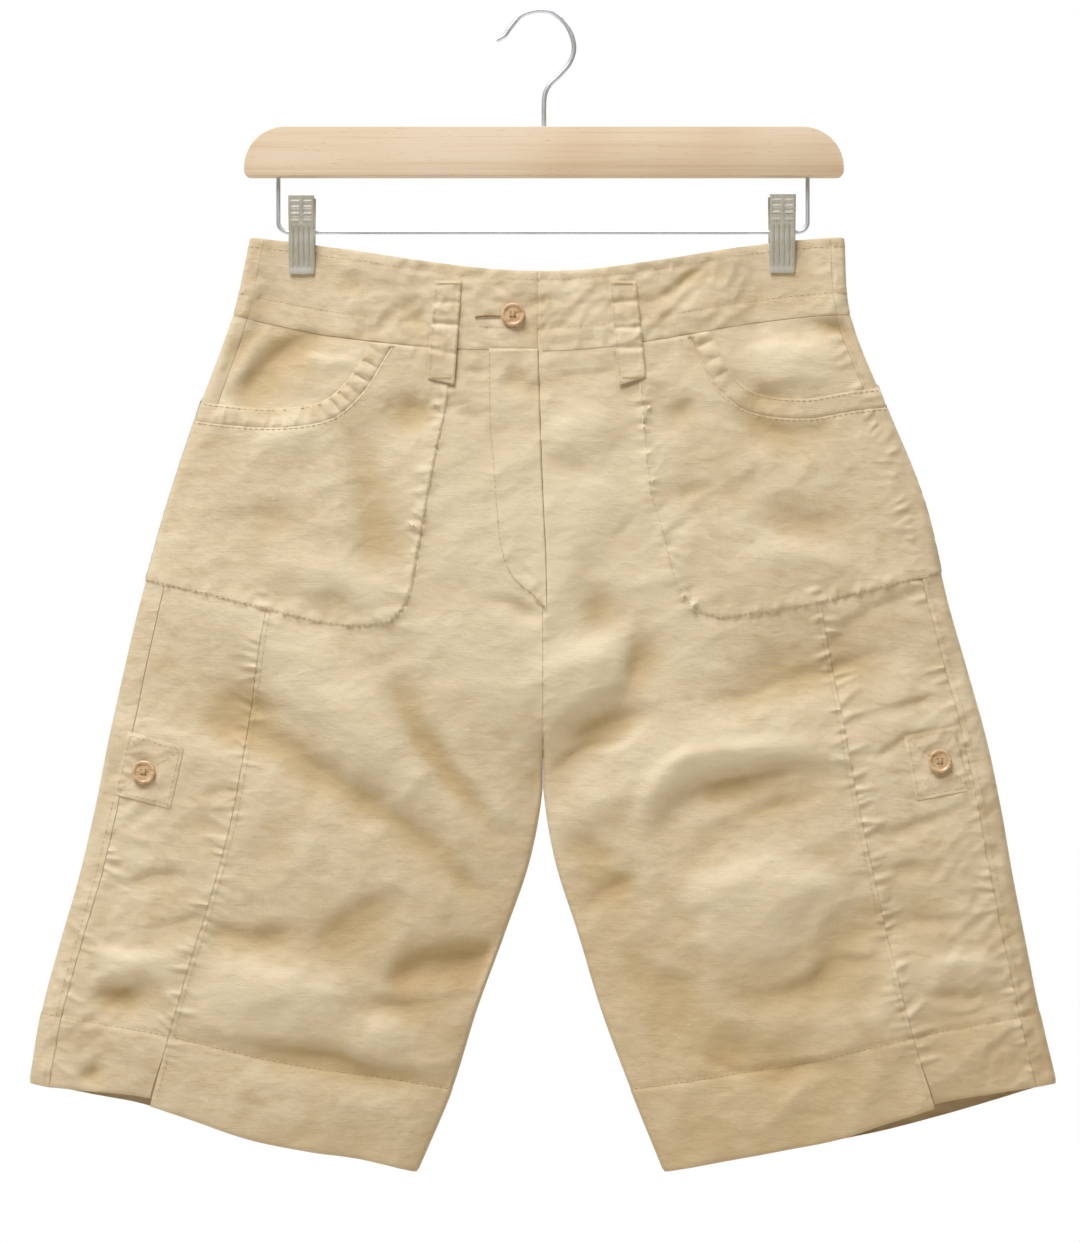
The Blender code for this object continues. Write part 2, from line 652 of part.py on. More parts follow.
def cylinder_helper(name, centre, axis, length, radius):
    """A hidden round cutter along Z or X."""
    bm = bmesh.new()
    turn = Matrix.Rotation(math.pi / 2, 4, "Y") if axis == "X" else Matrix()
    bmesh.ops.create_cone(bm, cap_ends=True, segments=14, radius1=radius, radius2=radius, depth=length,
                          matrix=Matrix.Translation(centre) @ turn)
    return helper_object(name, bm)


def make_bar():
    """The wooden bar: round shoulders, eased edges and a bevel along its underside."""
    half, bottom = BAR_LENGTH / 2, BAR_TOP - BAR_HEIGHT
    arc = [math.pi / 2 * step / 7 for step in range(8)]
    right = [(half - BAR_SHOULDER + BAR_SHOULDER * math.sin(a), BAR_TOP - BAR_SHOULDER + BAR_SHOULDER * math.cos(a))
             for a in arc]
    foot = [(half - 0.8, bottom + BAR_BEVEL_HEIGHT), (half - 3, bottom)]
    outline = [*right, *foot]
    outline += [(-x, z) for x, z in reversed(outline)]
    bm = bmesh.new()
    loops = []
    for y, inset in ((-BAR_DEPTH / 2, BAR_ROUNDING), (-BAR_DEPTH / 2 + BAR_ROUNDING, 0),
                     (BAR_DEPTH / 2 - BAR_ROUNDING, 0), (BAR_DEPTH / 2, BAR_ROUNDING)):
        shrunk = []
        for x, z in outline:
            low = max(z, bottom + (BAR_BEVEL_HEIGHT if inset else 0))
            shrunk.append((BAR_CENTRE_X + x * (1 - inset / half), y, min(low, BAR_TOP - inset)))
        loops.append([bm.verts.new(point) for point in shrunk])
    for first, second in zip(loops, loops[1:]):
        for place in range(len(outline)):
            after = (place + 1) % len(outline)
            bm.faces.new((first[place], first[after], second[after], second[place]))
    bm.faces.new(loops[0])
    bm.faces.new(loops[-1])
    bmesh.ops.remove_doubles(bm, verts=bm.verts, dist=0.001)
    bar = finish_object("hanger_bar", mesh_of("hanger_bar", bm), BEECH, 0.5)
    hook_x = HOOK_ROUTE[-1][0]
    sockets = [("hook_socket", hook_x, BAR_TOP, HOOK_SOCKET, HOOK_RADIUS)]
    sockets += [(f"rail_socket{suffix}", side * RAIL_HALF, bottom, RAIL_SOCKET, RAIL_RADIUS)
                for side, suffix in HALVES]
    for name, x, z, depth, radius in sockets:
        cutter = cylinder_helper(name, (x, 0, z), "Z", 2 * depth, radius + SOCKET_CLEARANCE)
        combine(bar, cutter, "DIFFERENCE")


def wire(name, route, radius, resolution):
    curve = bpy.data.curves.new(name, "CURVE")
    curve.dimensions = "3D"
    curve.bevel_depth = radius * MM
    curve.bevel_resolution = resolution
    curve.use_fill_caps = True
    spline = curve.splines.new("POLY")
    spline.points.add(len(route) - 1)
    for point, (x, z) in zip(spline.points, route):
        point.co = (x * MM, 0, z * MM, 1)
    finish_object(name, curve, NICKEL, 0.3, 1.0)


def make_rail():
    bottom = BAR_TOP - BAR_HEIGHT
    corner_x, corner_z = RAIL_HALF - RAIL_BEND, RAIL_Z + RAIL_BEND
    bend = [(corner_x + RAIL_BEND * math.cos(math.pi / 2 * step / 6), corner_z - RAIL_BEND * math.sin(math.pi / 2 * step / 6))
            for step in range(7)]
    half = [(RAIL_HALF, bottom + RAIL_SOCKET - SOCKET_CLEARANCE), *bend]
    wire("clip_rail", [*half, *((-x, z) for x, z in reversed(half))], RAIL_RADIUS, 1)


def make_jaw(clip, front):
    """Pressed sheet with two ears that the rail passes through; the back jaw's ears lie inside the front's."""
    name = clip.name + ("_front" if front else "_back")
    way = -1 if front else 1
    inside = [(y, clip.top - down) for y, down in smooth_curve(JAW_PROFILE[:5], 8)]
    inside += [(y, clip.top - down) for y, down in JAW_PROFILE[5:]]
    outside = [(y + CLIP_SHEET, z) for y, z in reversed(inside)]
    left, right = clip.x - CLIP_WIDTH / 2, clip.x + CLIP_WIDTH / 2
    sheet = extruded([(left, way * y, z) for y, z in inside + outside], (CLIP_WIDTH, 0, 0))
    jaw = finish_object(name, mesh_of(name, sheet), NICKEL, 0.35, 1.0)
    inset = 0 if front else CLIP_SHEET + EAR_GAP
    for side, suffix in HALVES:
        ear_x = left + inset if side == RIGHT else right - inset - CLIP_SHEET
        outline = [(ear_x, -way * EAR_TIP, RAIL_Z - EAR_HALF_HEIGHT / 2),
                   (ear_x, way * EAR_ROOT, RAIL_Z - EAR_HALF_HEIGHT),
                   (ear_x, way * EAR_ROOT, RAIL_Z + EAR_HALF_HEIGHT),
                   (ear_x, -way * EAR_TIP, RAIL_Z + EAR_HALF_HEIGHT / 2)]
        ear = extruded(outline, (CLIP_SHEET, 0, 0))
        combine(jaw, helper_object(f"{name}_ear{suffix}", ear), "UNION")
    bore = cylinder_helper(name + "_bore", (clip.x, 0, RAIL_Z), "X", 2 * CLIP_WIDTH, RAIL_RADIUS + SOCKET_CLEARANCE)
    combine(jaw, bore, "DIFFERENCE")


def make_spring(clip):
    """The spring's coil round the rail, between the ears."""
    bm = bmesh.new()
    sides, steps = 12, 10
    rings = []
    for step in range(steps + 1):
        x = clip.x - SPRING_LENGTH / 2 + SPRING_LENGTH * step / steps
        rings.append((x, SPRING_OUTER if step % 2 else SPRING_GROOVE))
    rings += [(clip.x + SPRING_LENGTH / 2, SPRING_INNER), (clip.x - SPRING_LENGTH / 2, SPRING_INNER)]
    loops = [[bm.verts.new((x, radius * math.cos(2 * math.pi * side / sides),
                            RAIL_Z + radius * math.sin(2 * math.pi * side / sides))) for side in range(sides)]
             for x, radius in rings]
    for first, second in zip(loops, [*loops[1:], loops[0]]):
        for side in range(sides):
            after = (side + 1) % sides
            bm.faces.new((first[side], first[after], second[after], second[side]))
    finish_object(clip.name + "_spring", mesh_of(clip.name + "_spring", bm), NICKEL, 0.35, 1.0)


def main():
    clear_scene()
    for half, suffix in HALVES:
        make_panels(half, suffix)
        make_pocket(half, suffix)
        make_tab(half, suffix)
    make_fly()
    for loop in BELT_LOOPS:
        make_belt_loop(loop)
    for button in BUTTONS:
        make_button(button)
    make_bar()
    wire("hanger_hook", smooth_curve(HOOK_ROUTE, 36), HOOK_RADIUS, 2)
    make_rail()
    for clip in CLIPS:
        make_jaw(clip, True)
        make_jaw(clip, False)
        make_spring(clip)


main()
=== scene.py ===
"""The finished look of linen bermuda shorts that hang from a wooden clip hanger.

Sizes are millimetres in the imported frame: +Z is up, the front faces -Y, +X is the wearer's left and the
origin is the inside top of the hook. Meshes turn to metres as they are finished.
"""

import logging
import math
from dataclasses import dataclass, field
from enum import Enum
from typing import Callable, NamedTuple, Sequence

import bmesh
import bpy
import numpy as np
from mathutils import Matrix, Vector


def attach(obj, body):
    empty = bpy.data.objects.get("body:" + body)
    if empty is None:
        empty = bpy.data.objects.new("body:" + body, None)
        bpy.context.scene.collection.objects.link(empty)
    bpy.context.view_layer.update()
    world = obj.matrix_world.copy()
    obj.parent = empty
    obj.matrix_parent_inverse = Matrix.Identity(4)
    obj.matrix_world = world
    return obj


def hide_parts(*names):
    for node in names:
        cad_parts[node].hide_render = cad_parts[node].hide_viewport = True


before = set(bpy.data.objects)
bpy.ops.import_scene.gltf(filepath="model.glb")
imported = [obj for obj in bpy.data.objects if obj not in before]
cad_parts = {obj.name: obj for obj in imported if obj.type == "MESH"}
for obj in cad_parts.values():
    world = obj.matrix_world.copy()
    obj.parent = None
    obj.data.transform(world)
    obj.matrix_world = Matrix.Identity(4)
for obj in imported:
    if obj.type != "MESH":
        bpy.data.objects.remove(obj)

LOG = logging.getLogger("shorts")
MM = 0.001
SEED = 11
Array = np.ndarray


class Half(Enum):
    """The wearer's right or left half; the value is its side along X."""

    RIGHT = -1
    LEFT = 1

    @property
    def suffix(self) -> str:
        """The ending of the names of this half's nodes."""
        return "_" + self.name.lower()


class Face(Enum):
    """The front or back of the shorts; the value is its side along Y."""

    FRONT = -1
    BACK = 1


class Section(NamedTuple):
    """One row round the shorts: heights, sag, reach to the side and the centre, and depth."""

    z_outer: float
    z_inner: float
    sag_right: float
    sag_left: float
    outer_right: float
    outer_left: float
    inner_right: float
    inner_left: float
    depth: float


class HemDip(NamedTuple):
    """How far the hem dips below a straight line at one step across the leg."""

    front_right: float
    front_left: float
    back_right: float
    back_left: float


class Fold(NamedTuple):
    """A ridge, or a trough where height is negative, along a curve through three points."""

    x0: float
    z0: float
    x1: float
    z1: float
    x2: float
    z2: float
    width: float
    height: float


class Crease(NamedTuple):
    """A soft trough along a curve, as its sides' slope, its width and the curve's points."""

    slope: float
    width: float
    points: tuple


class Column(NamedTuple):
    """A column of the wall as shares of a row's width at the waist and in the leg."""

    waist: float
    leg: float


SECTIONS = (
    Section(-143, -164.5, 0.58, 0.50, 186, 191.5, 0, 0, 8),
    Section(-192, -215.5, 0.78, 0.50, 197, 195.5, 0, 0, 10),
    Section(-246, -271, 0.64, 0.45, 216.5, 216, 0, 0, 13),
    Section(-309, -338, 0.56, 0.50, 237.5, 241.5, 0, 0, 15.5),
    Section(-373, -401.5, 0.53, 0.50, 255.5, 257, 0, 0, 16.5),
    Section(-417, -446, 0.51, 0.50, 266, 269.5, 0, 0, 16.5),
    Section(-462, -490.5, 0.50, 0.50, 276, 282, 0, 0, 16),
    Section(-505, -538, 0.50, 0.50, 284.5, 291, 8.2, 7.5, 16),
    Section(-548, -585.5, 0.50, 0.50, 294.5, 298.5, 24.5, 22.5, 16),
    Section(-591.5, -633.5, 0.50, 0.50, 307, 307, 42, 37, 16),
    Section(-634.5, -683, 0.52, 0.52, 318.5, 315.5, 57.5, 55.5, 15.5),
    Section(-679.5, -736, 0.50, 0.50, 326, 326, 80, 77, 15),
)
HEM_DIPS = (
    HemDip(0, 0, 0, 0),
    HemDip(-0.6, 1.0, 2.0, 3.5),
    HemDip(1.9, 2.2, 4.9, 5.5),
    HemDip(2.7, 3.2, 5.8, 6.8),
    HemDip(-1.2, 0, 2.3, 7.4),
    HemDip(-4.4, -3.0, -1.2, 6.1),
    HemDip(-2.1, -2.0, -0.2, 3.4),
    HemDip(0, 0, 0, 0),
)
FRONT_COLUMNS = (
    Column(0.10, 0.09),
    Column(0.20, 0.18),
    Column(0.30, 0.27),
    Column(0.40, 0.36),
    Column(0.50, 0.45),
    Column(0.60, 0.54),
    Column(0.69, 0.615),
    Column(0.75, 0.685),
    Column(0.82, 0.775),
    Column(0.89, 0.865),
    Column(0.952, 0.946),
)
BACK_COLUMNS = (
    Column(0.885, 0.88),
    Column(0.75, 0.76),
    Column(0.62, 0.62),
    Column(0.48, 0.48),
    Column(0.36, 0.36),
    Column(0.24, 0.24),
    Column(0.12, 0.12),
)
NOSE_COLUMNS = (0.7, 3.4)
PANEL_COLUMN, SIDE_COLUMN, FOLD_COLUMN, LAST_COLUMN = 10, 13, 16, 28
LAST_ROW, POCKET_HEM_ROW, HEM_STITCH_ROW = 11, 3.75, 10.0
ROW_HEIGHT, HALF_WIDTH = 54, 235
BAND_STITCH_ROWS = (0.112, 0.72)
BAND_FOOT_ROW = 1.008
UNDER_BAND_ROWS = (0.95, 0.98, 1.0, 1.009)
SEAM_GAP = 0.3

# How far a piece runs on beneath its neighbour at the centre and at its side, and how deep it lies there
CENTRE_TUCK = (4.6, 3.7, 2.9, 2.2, 1.6, 1.0, 0.5, 0.2)
TUCK_COLUMNS, TUCK_DEPTH, TUCK_ROW = 0.14, 1.05, 5.6

# The largest folds of the solids, which the cloth follows before its finer creases
FRONT_FOLDS = (
    Fold(-224, -373, -150, -415, -50, -505, 26, 4.0),
    Fold(-236, -425, -165, -455, -45, -530, 22, -3.5),
    Fold(-94, -400, -70, -455, -30, -540, 20, -3.0),
    Fold(-115, -597, -80, -606, -40, -598, 24, -3.5),
    Fold(-205, -577, -160, -586, -115, -577, 20, -2.5),
    Fold(-200, -660, -135, -670, -70, -680, 15, -2.5),
    Fold(48, -525, 75, -475, 190, -460, 26, 4.0),
    Fold(5, -485, 30, -458, 70, -445, 18, -3.0),
    Fold(95, -440, 150, -420, 225, -405, 20, -3.5),
    Fold(160, -605, 195, -585, 250, -578, 22, -3.0),
    Fold(32, -540, 65, -610, 150, -665, 26, -3.0),
    Fold(100, -535, 130, -570, 160, -590, 30, 3.0),
    Fold(-190, -240, -172, -215, -135, -210, 14, -2.0),
    Fold(120, -215, 155, -226, 192, -238, 16, 2.0),
    Fold(17, -420, 15, -330, 36, -262, 22, 2.0),
)
BACK_FOLDS = (
    Fold(210, -380, 130, -430, 40, -500, 26, 4.0),
    Fold(225, -440, 140, -480, 50, -540, 22, -3.5),
    Fold(-215, -400, -120, -440, -45, -505, 26, 4.0),
    Fold(-240, -470, -150, -500, -60, -560, 22, -3.5),
    Fold(-120, -600, -180, -620, -240, -610, 24, -3.0),
    Fold(110, -620, 170, -605, 230, -620, 24, -3.0),
    Fold(-60, -290, -110, -270, -170, -300, 24, 2.5),
    Fold(60, -300, 120, -280, 180, -310, 24, 2.5),
)

# Creases of a hand's width and less, front then back, each a trough unless its slope is negative
FRONT_CREASES = (
    Crease(0.42, 8.9, ((-234, -445), (-199, -454), (-164, -467), (-135, -485), (-107, -502), (-79, -523),
                       (-58, -543), (-42, -556))),
    Crease(-0.22, 16.7, ((-175, -420), (-138, -442), (-107, -471), (-78, -496), (-53, -519))),
    Crease(0.42, 7.8, ((-108, -408), (-90, -437), (-76, -461), (-62, -482), (-44, -503), (-26, -524),
                       (-12, -535))),
    Crease(-0.38, 5.2, ((-59, -471), (-34, -499), (-16, -520))),
    Crease(0.3, 5.2, ((-212, -497), (-203, -493), (-191, -495))),
    Crease(0.38, 6.7, ((-214, -580), (-189, -586), (-164, -584))),
    Crease(0.22, 11.1, ((-146, -597), (-128, -579), (-107, -568), (-86, -557))),
    Crease(0.55, 10.0, ((-96, -615), (-75, -603), (-55, -599), (-26, -599))),
    Crease(0.38, 6.7, ((-118, -623), (-94, -631), (-69, -629), (-44, -626))),
    Crease(0.28, 6.7, ((-62, -540), (-48, -553), (-35, -563))),
    Crease(0.42, 6.7, ((-235, -644), (-206, -653), (-182, -655), (-154, -659), (-129, -664), (-108, -671),
                       (-79, -676), (-58, -681))),
    Crease(-0.2, 11.1, ((-120, -650), (-103, -644), (-87, -649))),
    Crease(0.35, 3.6, ((-18, -571), (-23, -583), (-29, -593))),
    Crease(0.34, 5.2, ((-278, -563), (-261, -552), (-240, -547), (-224, -550))),
    Crease(0.28, 5.2, ((-250, -583), (-234, -579), (-214, -572))),
    Crease(-0.32, 10.0, ((-281, -600), (-258, -603), (-231, -599))),
    Crease(0.48, 8.9, ((-285, -628), (-266, -621), (-247, -617))),
    Crease(0.3, 6.7, ((-293, -681), (-286, -675), (-277, -673))),
    Crease(-0.25, 17.8, ((-198, -613), (-175, -617), (-138, -624))),
    Crease(0.22, 10.0, ((-216, -434), (-190, -440), (-159, -448))),
    Crease(0.32, 2.1, ((-62, -340), (-50, -364), (-36, -386), (-24, -404), (-14, -426))),
    Crease(0.48, 4.4, ((-35, -373), (-17, -376), (-2, -387))),
    Crease(0.3, 2.1, ((-19, -348), (-10, -356), (-3, -363))),
    Crease(0.3, 2.1, ((-24, -360), (-14, -367), (-3, -374))),
    Crease(0.24, 10.0, ((29, -347), (34, -377), (39, -400))),
    Crease(0.34, 8.9, ((63, -384), (61, -407), (55, -427), (39, -438))),
    Crease(-0.26, 15.6, ((4, -418), (22, -412), (41, -415))),
    Crease(0.32, 7.8, ((16, -466), (33, -454), (55, -448), (73, -443))),
    Crease(0.42, 3.6, ((6, -485), (18, -471), (31, -465), (56, -462))),
    Crease(-0.42, 6.7, ((191, -462), (146, -466), (101, -469), (81, -477), (69, -493), (62, -514),
                        (55, -535))),
    Crease(0.4, 8.9, ((201, -482), (169, -482), (147, -484), (114, -489), (95, -496), (81, -508),
                      (70, -530))),
    Crease(0.3, 7.8, ((101, -439), (131, -434), (158, -423), (185, -417), (206, -411), (231, -403))),
    Crease(0.32, 5.2, ((183, -401), (193, -388), (221, -374), (244, -366))),
    Crease(0.45, 2.7, ((194, -471), (214, -470), (229, -460), (250, -456), (274, -449))),
    Crease(0.32, 3.6, ((192, -450), (213, -444), (235, -438), (260, -433))),
    Crease(0.3, 2.1, ((256, -473), (270, -471), (286, -470))),
    Crease(0.32, 5.2, ((196, -516), (221, -520), (245, -512), (274, -502))),
    Crease(0.26, 8.9, ((100, -523), (131, -510), (178, -496))),
    Crease(0.36, 2.1, ((232, -499), (250, -494), (270, -493), (281, -491))),
    Crease(0.3, 8.9, ((32, -565), (43, -557), (55, -551))),
    Crease(0.22, 6.7, ((82, -568), (91, -571), (101, -573))),
    Crease(-0.24, 17.8, ((97, -557), (135, -552), (179, -557))),
    Crease(0.34, 8.9, ((123, -626), (145, -624), (166, -617), (178, -607), (189, -591))),
    Crease(0.26, 3.6, ((180, -595), (198, -601), (215, -596))),
    Crease(0.18, 13.3, ((102, -654), (137, -661), (166, -655))),
    Crease(0.36, 5.2, ((129, -668), (148, -672), (165, -668), (190, -664), (211, -657))),
    Crease(0.3, 2.7, ((89, -656), (119, -669), (141, -674))),
    Crease(-0.28, 8.9, ((206, -638), (219, -625), (223, -606))),
    Crease(0.36, 2.1, ((214, -645), (226, -632), (237, -621))),
    Crease(0.38, 3.6, ((239, -623), (259, -622), (280, -624), (298, -624))),
    Crease(0.26, 2.1, ((241, -633), (263, -636), (280, -632), (306, -625))),
    Crease(0.32, 3.6, ((227, -572), (247, -576), (267, -572))),
    Crease(-0.3, 7.8, ((239, -606), (264, -602), (288, -608))),
    Crease(0.28, 1.8, ((158, -696), (171, -698), (186, -699))),
    Crease(0.28, 5.2, ((215, -546), (237, -542), (263, -548))),
    Crease(0.22, 11.1, ((13, -523), (32, -536), (54, -543))),
    Crease(0.22, 7.8, ((50, -601), (76, -614), (104, -617))),
    Crease(0.36, 6.7, ((-159, -153), (-166, -165), (-171, -171), (-177, -185), (-179, -199))),
    Crease(0.55, 9.4, ((-192, -244), (-178, -228), (-167, -218), (-155, -209), (-140, -205))),
    Crease(0.32, 4.4, ((-206, -250), (-200, -229), (-193, -213), (-181, -200))),
    Crease(-0.32, 3.0, ((-192, -227), (-184, -213), (-176, -204), (-171, -195))),
    Crease(-0.32, 3.6, ((-159, -215), (-138, -221), (-122, -223), (-110, -231))),
    Crease(0.32, 2.5, ((-142, -204), (-132, -206), (-120, -209))),
    Crease(0.27, 12.2, ((-120, -276), (-111, -296), (-108, -327), (-104, -352))),
    Crease(0.3, 10.0, ((-90, -250), (-78, -254), (-66, -252))),
    Crease(0.28, 5.2, ((-57, -247), (-48, -255), (-39, -258))),
    Crease(0.42, 6.7, ((-19, -232), (-11, -238), (-2, -241))),
    Crease(0.38, 2.5, ((-52, -228), (-42, -228), (-31, -228))),
    Crease(0.32, 6.7, ((-124, -170), (-117, -174), (-110, -179))),
    Crease(0.2, 11.1, ((-152, -186), (-133, -198), (-106, -203))),
    Crease(-0.2, 13.3, ((-176, -276), (-152, -271), (-126, -282))),
    Crease(0.2, 10.0, ((-202, -326), (-176, -319), (-152, -327))),
    Crease(0.2, 8.9, ((-184, -367), (-153, -374), (-124, -375))),
    Crease(-0.2, 10.0, ((-152, -351), (-127, -361), (-107, -377))),
    Crease(0.24, 3.6, ((-194, -160), (-184, -165), (-178, -174))),
    Crease(0.24, 5.2, ((-90, -184), (-80, -196), (-75, -213))),
    Crease(0.42, 3.1, ((62, -189), (77, -179), (97, -165), (112, -158))),
    Crease(0.3, 2.5, ((66, -205), (80, -192), (96, -174))),
    Crease(0.32, 2.5, ((-6, -185), (3, -181), (9, -180))),
    Crease(0.32, 2.1, ((15, -184), (29, -186), (40, -183))),
    Crease(0.3, 2.1, ((15, -170), (17, -176), (18, -182))),
    Crease(0.32, 2.5, ((162, -173), (167, -181), (175, -190))),
    Crease(0.32, 2.5, ((157, -147), (168, -155), (179, -162))),
    Crease(0.55, 5.2, ((151, -205), (171, -198), (188, -201), (197, -210))),
    Crease(-0.32, 8.9, ((126, -220), (154, -214), (192, -219))),
    Crease(0.38, 6.7, ((116, -233), (137, -241), (156, -245))),
    Crease(0.38, 8.9, ((117, -250), (137, -263), (158, -268), (181, -266))),
    Crease(0.38, 2.3, ((7, -231), (28, -230), (48, -227))),
    Crease(-0.22, 11.1, ((8, -270), (23, -261), (38, -269))),
    Crease(0.24, 8.9, ((3, -279), (16, -289), (34, -295))),
    Crease(0.27, 8.9, ((72, -249), (85, -254), (98, -250))),
    Crease(0.22, 8.9, ((73, -309), (109, -303), (137, -297))),
    Crease(0.28, 2.5, ((75, -333), (86, -326), (99, -317))),
    Crease(0.28, 2.5, ((38, -342), (49, -329), (61, -317))),
    Crease(0.2, 10.0, ((140, -313), (165, -326), (197, -323))),
    Crease(-0.2, 10.0, ((121, -351), (152, -344), (191, -349))),
    Crease(0.32, 1.7, ((-42, -180), (-30, -184), (-22, -187))),
    Crease(-0.32, 1.7, ((-51, -171), (-46, -174), (-41, -179))),
    Crease(-0.32, 1.7, ((-34, -174), (-28, -179), (-22, -184))),
    Crease(0.42, 2.5, ((-23, -180), (-15, -181), (-7, -178))),
    Crease(0.3, 1.5, ((-9, -178), (-7, -182), (-5, -187))),
    Crease(0.26, 1.8, ((-46, -206), (-36, -202), (-27, -200))),
    Crease(0.26, 1.8, ((-10, -200), (-7, -205), (-3, -211))),
)
BACK_CREASES = (
    Crease(0.34, 8.9, ((13, -440), (38, -419), (76, -402), (121, -394))),
    Crease(0.34, 8.9, ((-13, -443), (-45, -422), (-83, -407), (-124, -402))),
    Crease(0.4, 7.8, ((31, -522), (70, -496), (127, -477), (197, -471))),
    Crease(0.4, 7.8, ((-32, -525), (-70, -500), (-121, -479), (-191, -472))),
    Crease(-0.24, 15.6, ((52, -556), (116, -544), (198, -551))),
    Crease(-0.24, 15.6, ((-50, -560), (-113, -545), (-196, -553))),
    Crease(0.38, 6.7, ((95, -655), (152, -669), (222, -662), (266, -648))),
    Crease(0.38, 6.7, ((-89, -661), (-147, -671), (-216, -662), (-261, -651))),
    Crease(0.24, 11.1, ((32, -256), (77, -268), (127, -260))),
    Crease(0.24, 11.1, ((-25, -251), (-70, -265), (-133, -258))),
    Crease(0.38, 6.7, ((139, -232), (165, -218), (191, -223))),
    Crease(0.38, 6.7, ((-139, -234), (-164, -219), (-191, -225))),
    Crease(0.3, 10.0, ((12, -332), (32, -364), (76, -377))),
    Crease(0.3, 10.0, ((-9, -342), (-38, -377), (-89, -384))),
    Crease(0.3, 7.8, ((152, -369), (197, -354), (235, -366))),
    Crease(0.3, 7.8, ((-149, -374), (-191, -357), (-230, -369))),
    Crease(0.32, 6.7, ((203, -598), (241, -585), (285, -594))),
    Crease(0.32, 6.7, ((-204, -605), (-242, -594), (-283, -601))),
    Crease(0.3, 8.9, ((63, -605), (81, -636), (105, -663))),
    Crease(0.3, 8.9, ((-60, -608), (-81, -638), (-107, -667))),
    Crease(0.4, 5.2, ((37, -565), (69, -568), (101, -556), (126, -540))),
    Crease(0.36, 5.2, ((-39, -578), (-71, -584), (-102, -568), (-122, -553))),
    Crease(0.3, 5.2, ((-90, -184), (-74, -178), (-61, -183))),
    Crease(0.3, 5.2, ((63, -180), (79, -174), (94, -182))),
    Crease(-0.26, 13.3, ((39, -302), (90, -295), (147, -305))),
    Crease(-0.26, 13.3, ((-37, -308), (-88, -300), (-145, -309))),
    Crease(0.26, 3.6, ((129, -165), (144, -179), (152, -190))),
    Crease(0.26, 3.6, ((-146, -168), (-135, -181), (-122, -191))),
)

# Where layers lie on the front, as (x, z)
POCKET_EDGE = {
    Half.RIGHT: ((-58, -205), (-60.5, -246), (-67, -277), (-75, -321), (-80, -349), (-84.5, -371),
                 (-95.5, -386), (-113, -390), (-137, -388.5), (-170, -381), (-213.5, -370), (-262, -359)),
    Half.LEFT: ((58, -205), (61.5, -248), (66, -299), (73.5, -327), (78.5, -347), (83, -362), (94, -378.5),
                (112, -384.5), (129, -383), (173, -375.5), (216.5, -365), (264, -353)),
}
POCKET_MOUTH = {
    Half.RIGHT: ((-88, -200), (-101, -221), (-114, -241.5), (-133.5, -258), (-162.5, -263.7), (-201, -262),
                 (-240, -256)),
    Half.LEFT: ((88, -196), (100, -220), (112.5, -241), (132.5, -254), (165.5, -258), (198.5, -253),
                (240, -248)),
}
MOUTH_BAND = 12.5
FLY_EDGE = ((-3, -214), (-2.2, -245), (-1.3, -276), (0, -309), (1.7, -344), (2.3, -378))
FLY_STITCH = ((-34, -214), (-33.5, -259), (-31, -290), (-29, -318), (-26, -342), (-19.5, -358.5),
              (-7.5, -369), (2.3, -378))
TABS = {
    Half.RIGHT: ((-262.5, -456), (-226.5, -466), (-235.5, -505), (-272, -496)),
    Half.LEFT: ((228, -459), (261.5, -453), (273, -493), (235.5, -500)),
}


class Loop(NamedTuple):
    """A belt loop: its node, face, x at its top and foot, and width."""

    node: str
    face: Face
    x_top: float
    x_foot: float
    width: float


BELT_LOOPS = (
    Loop("belt_loop_front_right", Face.FRONT, -60, -64.5, 17),
    Loop("belt_loop_front_left", Face.FRONT, 50.5, 56.5, 17),
    Loop("belt_loop_back_right", Face.BACK, -96, -102, 15),
    Loop("belt_loop_back_centre", Face.BACK, 0, 0, 15),
    Loop("belt_loop_back_left", Face.BACK, 96, 102, 15),
)


class ButtonPlace(NamedTuple):
    """A button: its node, half, centre and how far it lies off the panel."""

    node: str
    half: Half
    x: float
    z: float
    lift: float


BUTTONS = (
    ButtonPlace("waist_button", Half.RIGHT, -19, -192.5, 0.65),
    ButtonPlace("tab_button_right", Half.RIGHT, -252, -482, 1.95),
    ButtonPlace("tab_button_left", Half.LEFT, 250.5, -475, 1.95),
)


class ClipPlace(NamedTuple):
    """A clip: its node's stem, centre and top."""

    node: str
    x: float
    top: float


CLIPS = (ClipPlace("clip_right", -153, -117), ClipPlace("clip_left", 151.8, -116.2))


# Curves


def smooth_step(low: float, high: float, value: Array) -> Array:
    """A soft step from 0 at low to 1 at high."""
    t = np.clip((np.asarray(value, float) - low) / (high - low), 0, 1)
    return t * t * (3 - 2 * t)


def plateau(distance: Array, flat: float, fade: float) -> Array:
    """1 as far as flat from a place, and down to 0 over fade."""
    return 1 - smooth_step(flat, flat + fade, np.abs(distance))


def catmull_rom(table: Sequence, place: Array) -> Array:
    """Points on a smooth curve.

    Args:
        table: The rows that the curve passes through.
        place: Where along the rows, from 0 to their count less 1.

    Returns:
        A row of values for each place.
    """
    rows = np.asarray(table, float)
    place = np.clip(np.asarray(place, float), 0, len(rows) - 1)
    start = np.minimum(place.astype(int), len(rows) - 2)
    t = (place - start)[..., None]
    padded = np.vstack([2 * rows[0] - rows[1], rows, 2 * rows[-1] - rows[-2]])
    before, here, there, after = (padded[start + step] for step in range(4))
    bend = 2 * before - 5 * here + 4 * there - after + t * (3 * (here - there) + after - before)
    return here + 0.5 * t * (there - before + t * bend)


def smooth_curve(points: Sequence, steps: int) -> Array:
    """A smooth curve through points, as steps + 1 points."""
    return catmull_rom(points, np.linspace(0, len(points) - 1, steps + 1))


